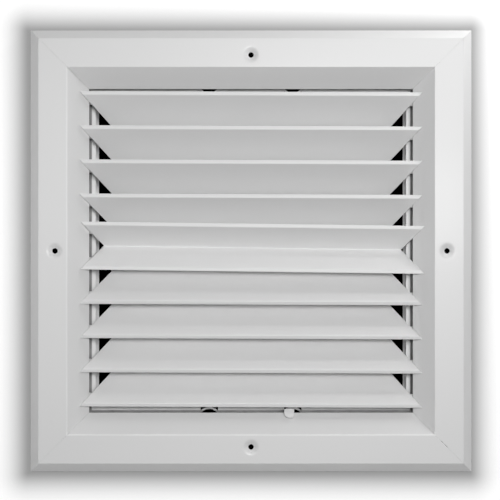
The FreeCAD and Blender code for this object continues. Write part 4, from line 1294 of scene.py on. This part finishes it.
@dataclass
class Studio:
    """Pale backing, a near-black panel painting the shade inside the duct, lamps, world and
    camera.
    """

    distance: float = 0.9
    lens: float = 96.6
    backing_depth: float = 0.001
    opening: float = 0.125
    rear_opening: float = 0.1165
    rear_depth: float = 0.0527
    spread: float = 3.0
    halo_depth: float = 0.7
    halo_reach: float = 0.0125
    halo_power: float = 1.4
    halo_shift: tuple[float, float] = (0.0012, 0.0006)
    cover: float = 0.0008
    grain: float = 0.01
    grain_scale: float = 3.0
    soft_light: float = 0.07
    glow: float = 0.34
    lamps: tuple[Lamp, ...] = (
        Lamp("key_lamp", 6.5, 0.2, (0.08, -1.045, 0.1)),
        Lamp("side_lamp", 1.2, 0.12, (0.27, -1.0, 0.06)),
        Lamp("left_lamp", 0.68, 0.25, (-0.30, -0.95, 0.12)),
        Lamp("top_right_lamp", 0.16, 0.05, (0.22, -0.035, 0.38)),
        Lamp("right_lamp", 0.34, 0.06, (0.30, -0.12, 0.30)),
        Lamp("left_rim_lamp", 0.07, 0.08, (-0.40, -0.15, 0.0)),
        Lamp("rear_left_lamp", 5.0, 0.4, (-0.95, 0.75, 0.45)),
        Lamp("rear_right_lamp", 6.5, 0.4, (0.95, 0.75, 0.55)),
    )
    eye: tuple[float, float] = (-0.00067, 0.0006)

    def contact_shade(self, tree: Tree, where: Socket) -> Socket:
        """Soft shade on the backing round the flange, and dark under it.

        The distance from the flange's square is that of a rounded rectangle; the shade is one
        less the depth times e to the minus (distance over reach) to the halo's power.

        Args:
            tree: The material's tree.
            where: Object coordinates.

        Returns:
            The factor for the backing's colour.
        """
        across, _, up = tree.axes(where)
        squares = []
        for along, shift in zip((across, up), self.halo_shift):
            place = tree.size(tree.maths("ADD", along, shift))
            over = tree.maths("MAXIMUM", tree.maths("SUBTRACT", place, CAD_BOX[1][0]), 0.0)
            squares.append(tree.times(over, over))
        distance = tree.maths("SQRT", tree.maths("ADD", *squares))
        share = tree.maths("POWER", tree.maths("DIVIDE", distance, self.halo_reach),
                           self.halo_power)
        fall = tree.maths("POWER", math.e, tree.times(share, -1.0))
        halo = tree.rest(tree.times(fall, self.halo_depth))
        clear = tree.rest(self.under_flange(tree, where))
        return tree.times(halo, clear)

    def under_flange(self, tree: Tree, where: Socket) -> Socket:
        """One where the flange covers the backing, and zero outside it."""
        return tree.maths("LESS_THAN", tree.from_middle(where), CAD_BOX[1][0] - self.cover)

    def one_sided(self, name: str, colour: Colour, glow: float, only_camera: bool) -> Material:
        """A matt surface that shows from its front only.

        Args:
            name: Name of the material.
            colour: Its colour.
            glow: Light it gives off, seen by the camera and in reflections only.
            only_camera: Whether every ray but the camera's passes through it; otherwise they
                pass only where the flange covers it.

        Returns:
            The material.
        """
        tree = Surface(name)
        where, nodes = tree.where, tree.tree.nodes
        nodes.remove(tree.shader)
        matt = tree.node("ShaderNodeBsdfDiffuse")
        grain = tree.about(tree.noise(where, self.grain_scale), self.grain, 1 - self.grain / 2)
        shade = tree.times(grain, self.contact_shade(tree, where))
        tree.link(tree.scaled(colour, shade), matt.inputs["Color"])
        path = tree.node("ShaderNodeLightPath").outputs
        seen = tree.maths("MAXIMUM", path["Is Camera Ray"], path["Is Glossy Ray"])
        seen = tree.maths("MAXIMUM", seen, path["Is Transmission Ray"])
        light = tree.node("ShaderNodeEmission")
        tree.link(tree.times(seen, glow, shade), light.inputs["Strength"])
        both = tree.join("ShaderNodeAddShader", matt, light)
        hidden = tree.node("ShaderNodeNewGeometry").outputs["Backfacing"]
        other = tree.rest(path["Is Camera Ray"])
        if not only_camera:
            other = tree.times(other, self.under_flange(tree, where))
        hidden = tree.maths("MAXIMUM", hidden, other)
        clear = tree.node("ShaderNodeBsdfTransparent")
        choose = tree.join("ShaderNodeMixShader", both, clear, hidden)
        tree.link(choose.outputs[0], nodes["Material Output"].inputs["Surface"])
        return tree.material

    @staticmethod
    def panel(name: str, material: Material, rings: list[float], depth: float) -> None:
        """A flat square panel, facing the room, as rings of squares.

        Args:
            name: Name of the piece.
            material: Its material.
            rings: Half widths from the inside out; a zero fills the middle.
            depth: Y of the panel.
        """
        corner = np.array([(-1.0, -1.0), (1.0, -1.0), (1.0, 1.0), (-1.0, 1.0)])
        half = np.array(rings)[:, None]
        across, up = half * corner[:, 0], half * corner[:, 1]
        points = np.stack([across, np.full_like(up, depth), up], axis=-1)
        index = np.arange(up.size).reshape(up.shape)
        quads = np.stack([index[:-1], np.roll(index[:-1], -1, axis=1),
                          np.roll(index[1:], -1, axis=1), index[1:]], axis=-1)
        mesh = new_mesh(name, points.reshape(-1, 3), quads.reshape(-1, 4).tolist())
        if mesh.polygons[0].normal.y > 0:
            mesh.flip_normals()
        mesh.materials.append(material)
        placed(name, mesh)

    def build(self) -> None:
        """Set up the stage, the light and the camera."""
        pale = self.one_sided("pale_backing", (0.96, 0.96, 0.96), self.glow, False)
        # Painted shade: a near-black panel that only the camera sees stands for the dark inside
        # the duct.
        dark = self.one_sided("painted_duct_shade", (0.004, 0.004, 0.004), 0.0, True)
        self.panel("backing", pale, [self.opening, 0.3, self.spread], self.backing_depth)
        self.panel("duct_shade_panel", dark, [0.0, self.rear_opening], self.rear_depth)
        for lamp in self.lamps:
            lamp.hang()
        world = bpy.data.worlds.new("studio")
        world.use_nodes = True
        tree = Tree(world.node_tree)
        soft = world.node_tree.nodes["Background"]
        tree.put(soft, Color=(1.0, 1.0, 1.0, 1.0), Strength=self.soft_light)
        white = tree.node("ShaderNodeBackground")
        path = tree.node("ShaderNodeLightPath").outputs
        seen = tree.maths("MAXIMUM", path["Is Camera Ray"], path["Is Transmission Ray"])
        choose = tree.join("ShaderNodeMixShader", soft, white, seen)
        tree.link(choose.outputs[0], world.node_tree.nodes["World Output"].inputs["Surface"])
        bpy.context.scene.world = world
        data = bpy.data.cameras.new("camera")
        data.lens = self.lens
        data.sensor_width = 36.0
        camera = placed("camera", data)
        camera.location = (self.eye[0], CAD_BOX[0][1] - self.distance, self.eye[1])
        camera.rotation_euler = (math.pi / 2, 0.0, 0.0)
        bpy.context.scene.camera = camera
        bpy.context.scene.view_settings.view_transform = "Standard"


def main() -> None:
    """Build the whole model and its stage in order."""
    flange = Flange()
    flange.build()
    Louvres(flange).build()
    Eased().build()
    Studio().build()


if __name__ == "__main__":
    main()
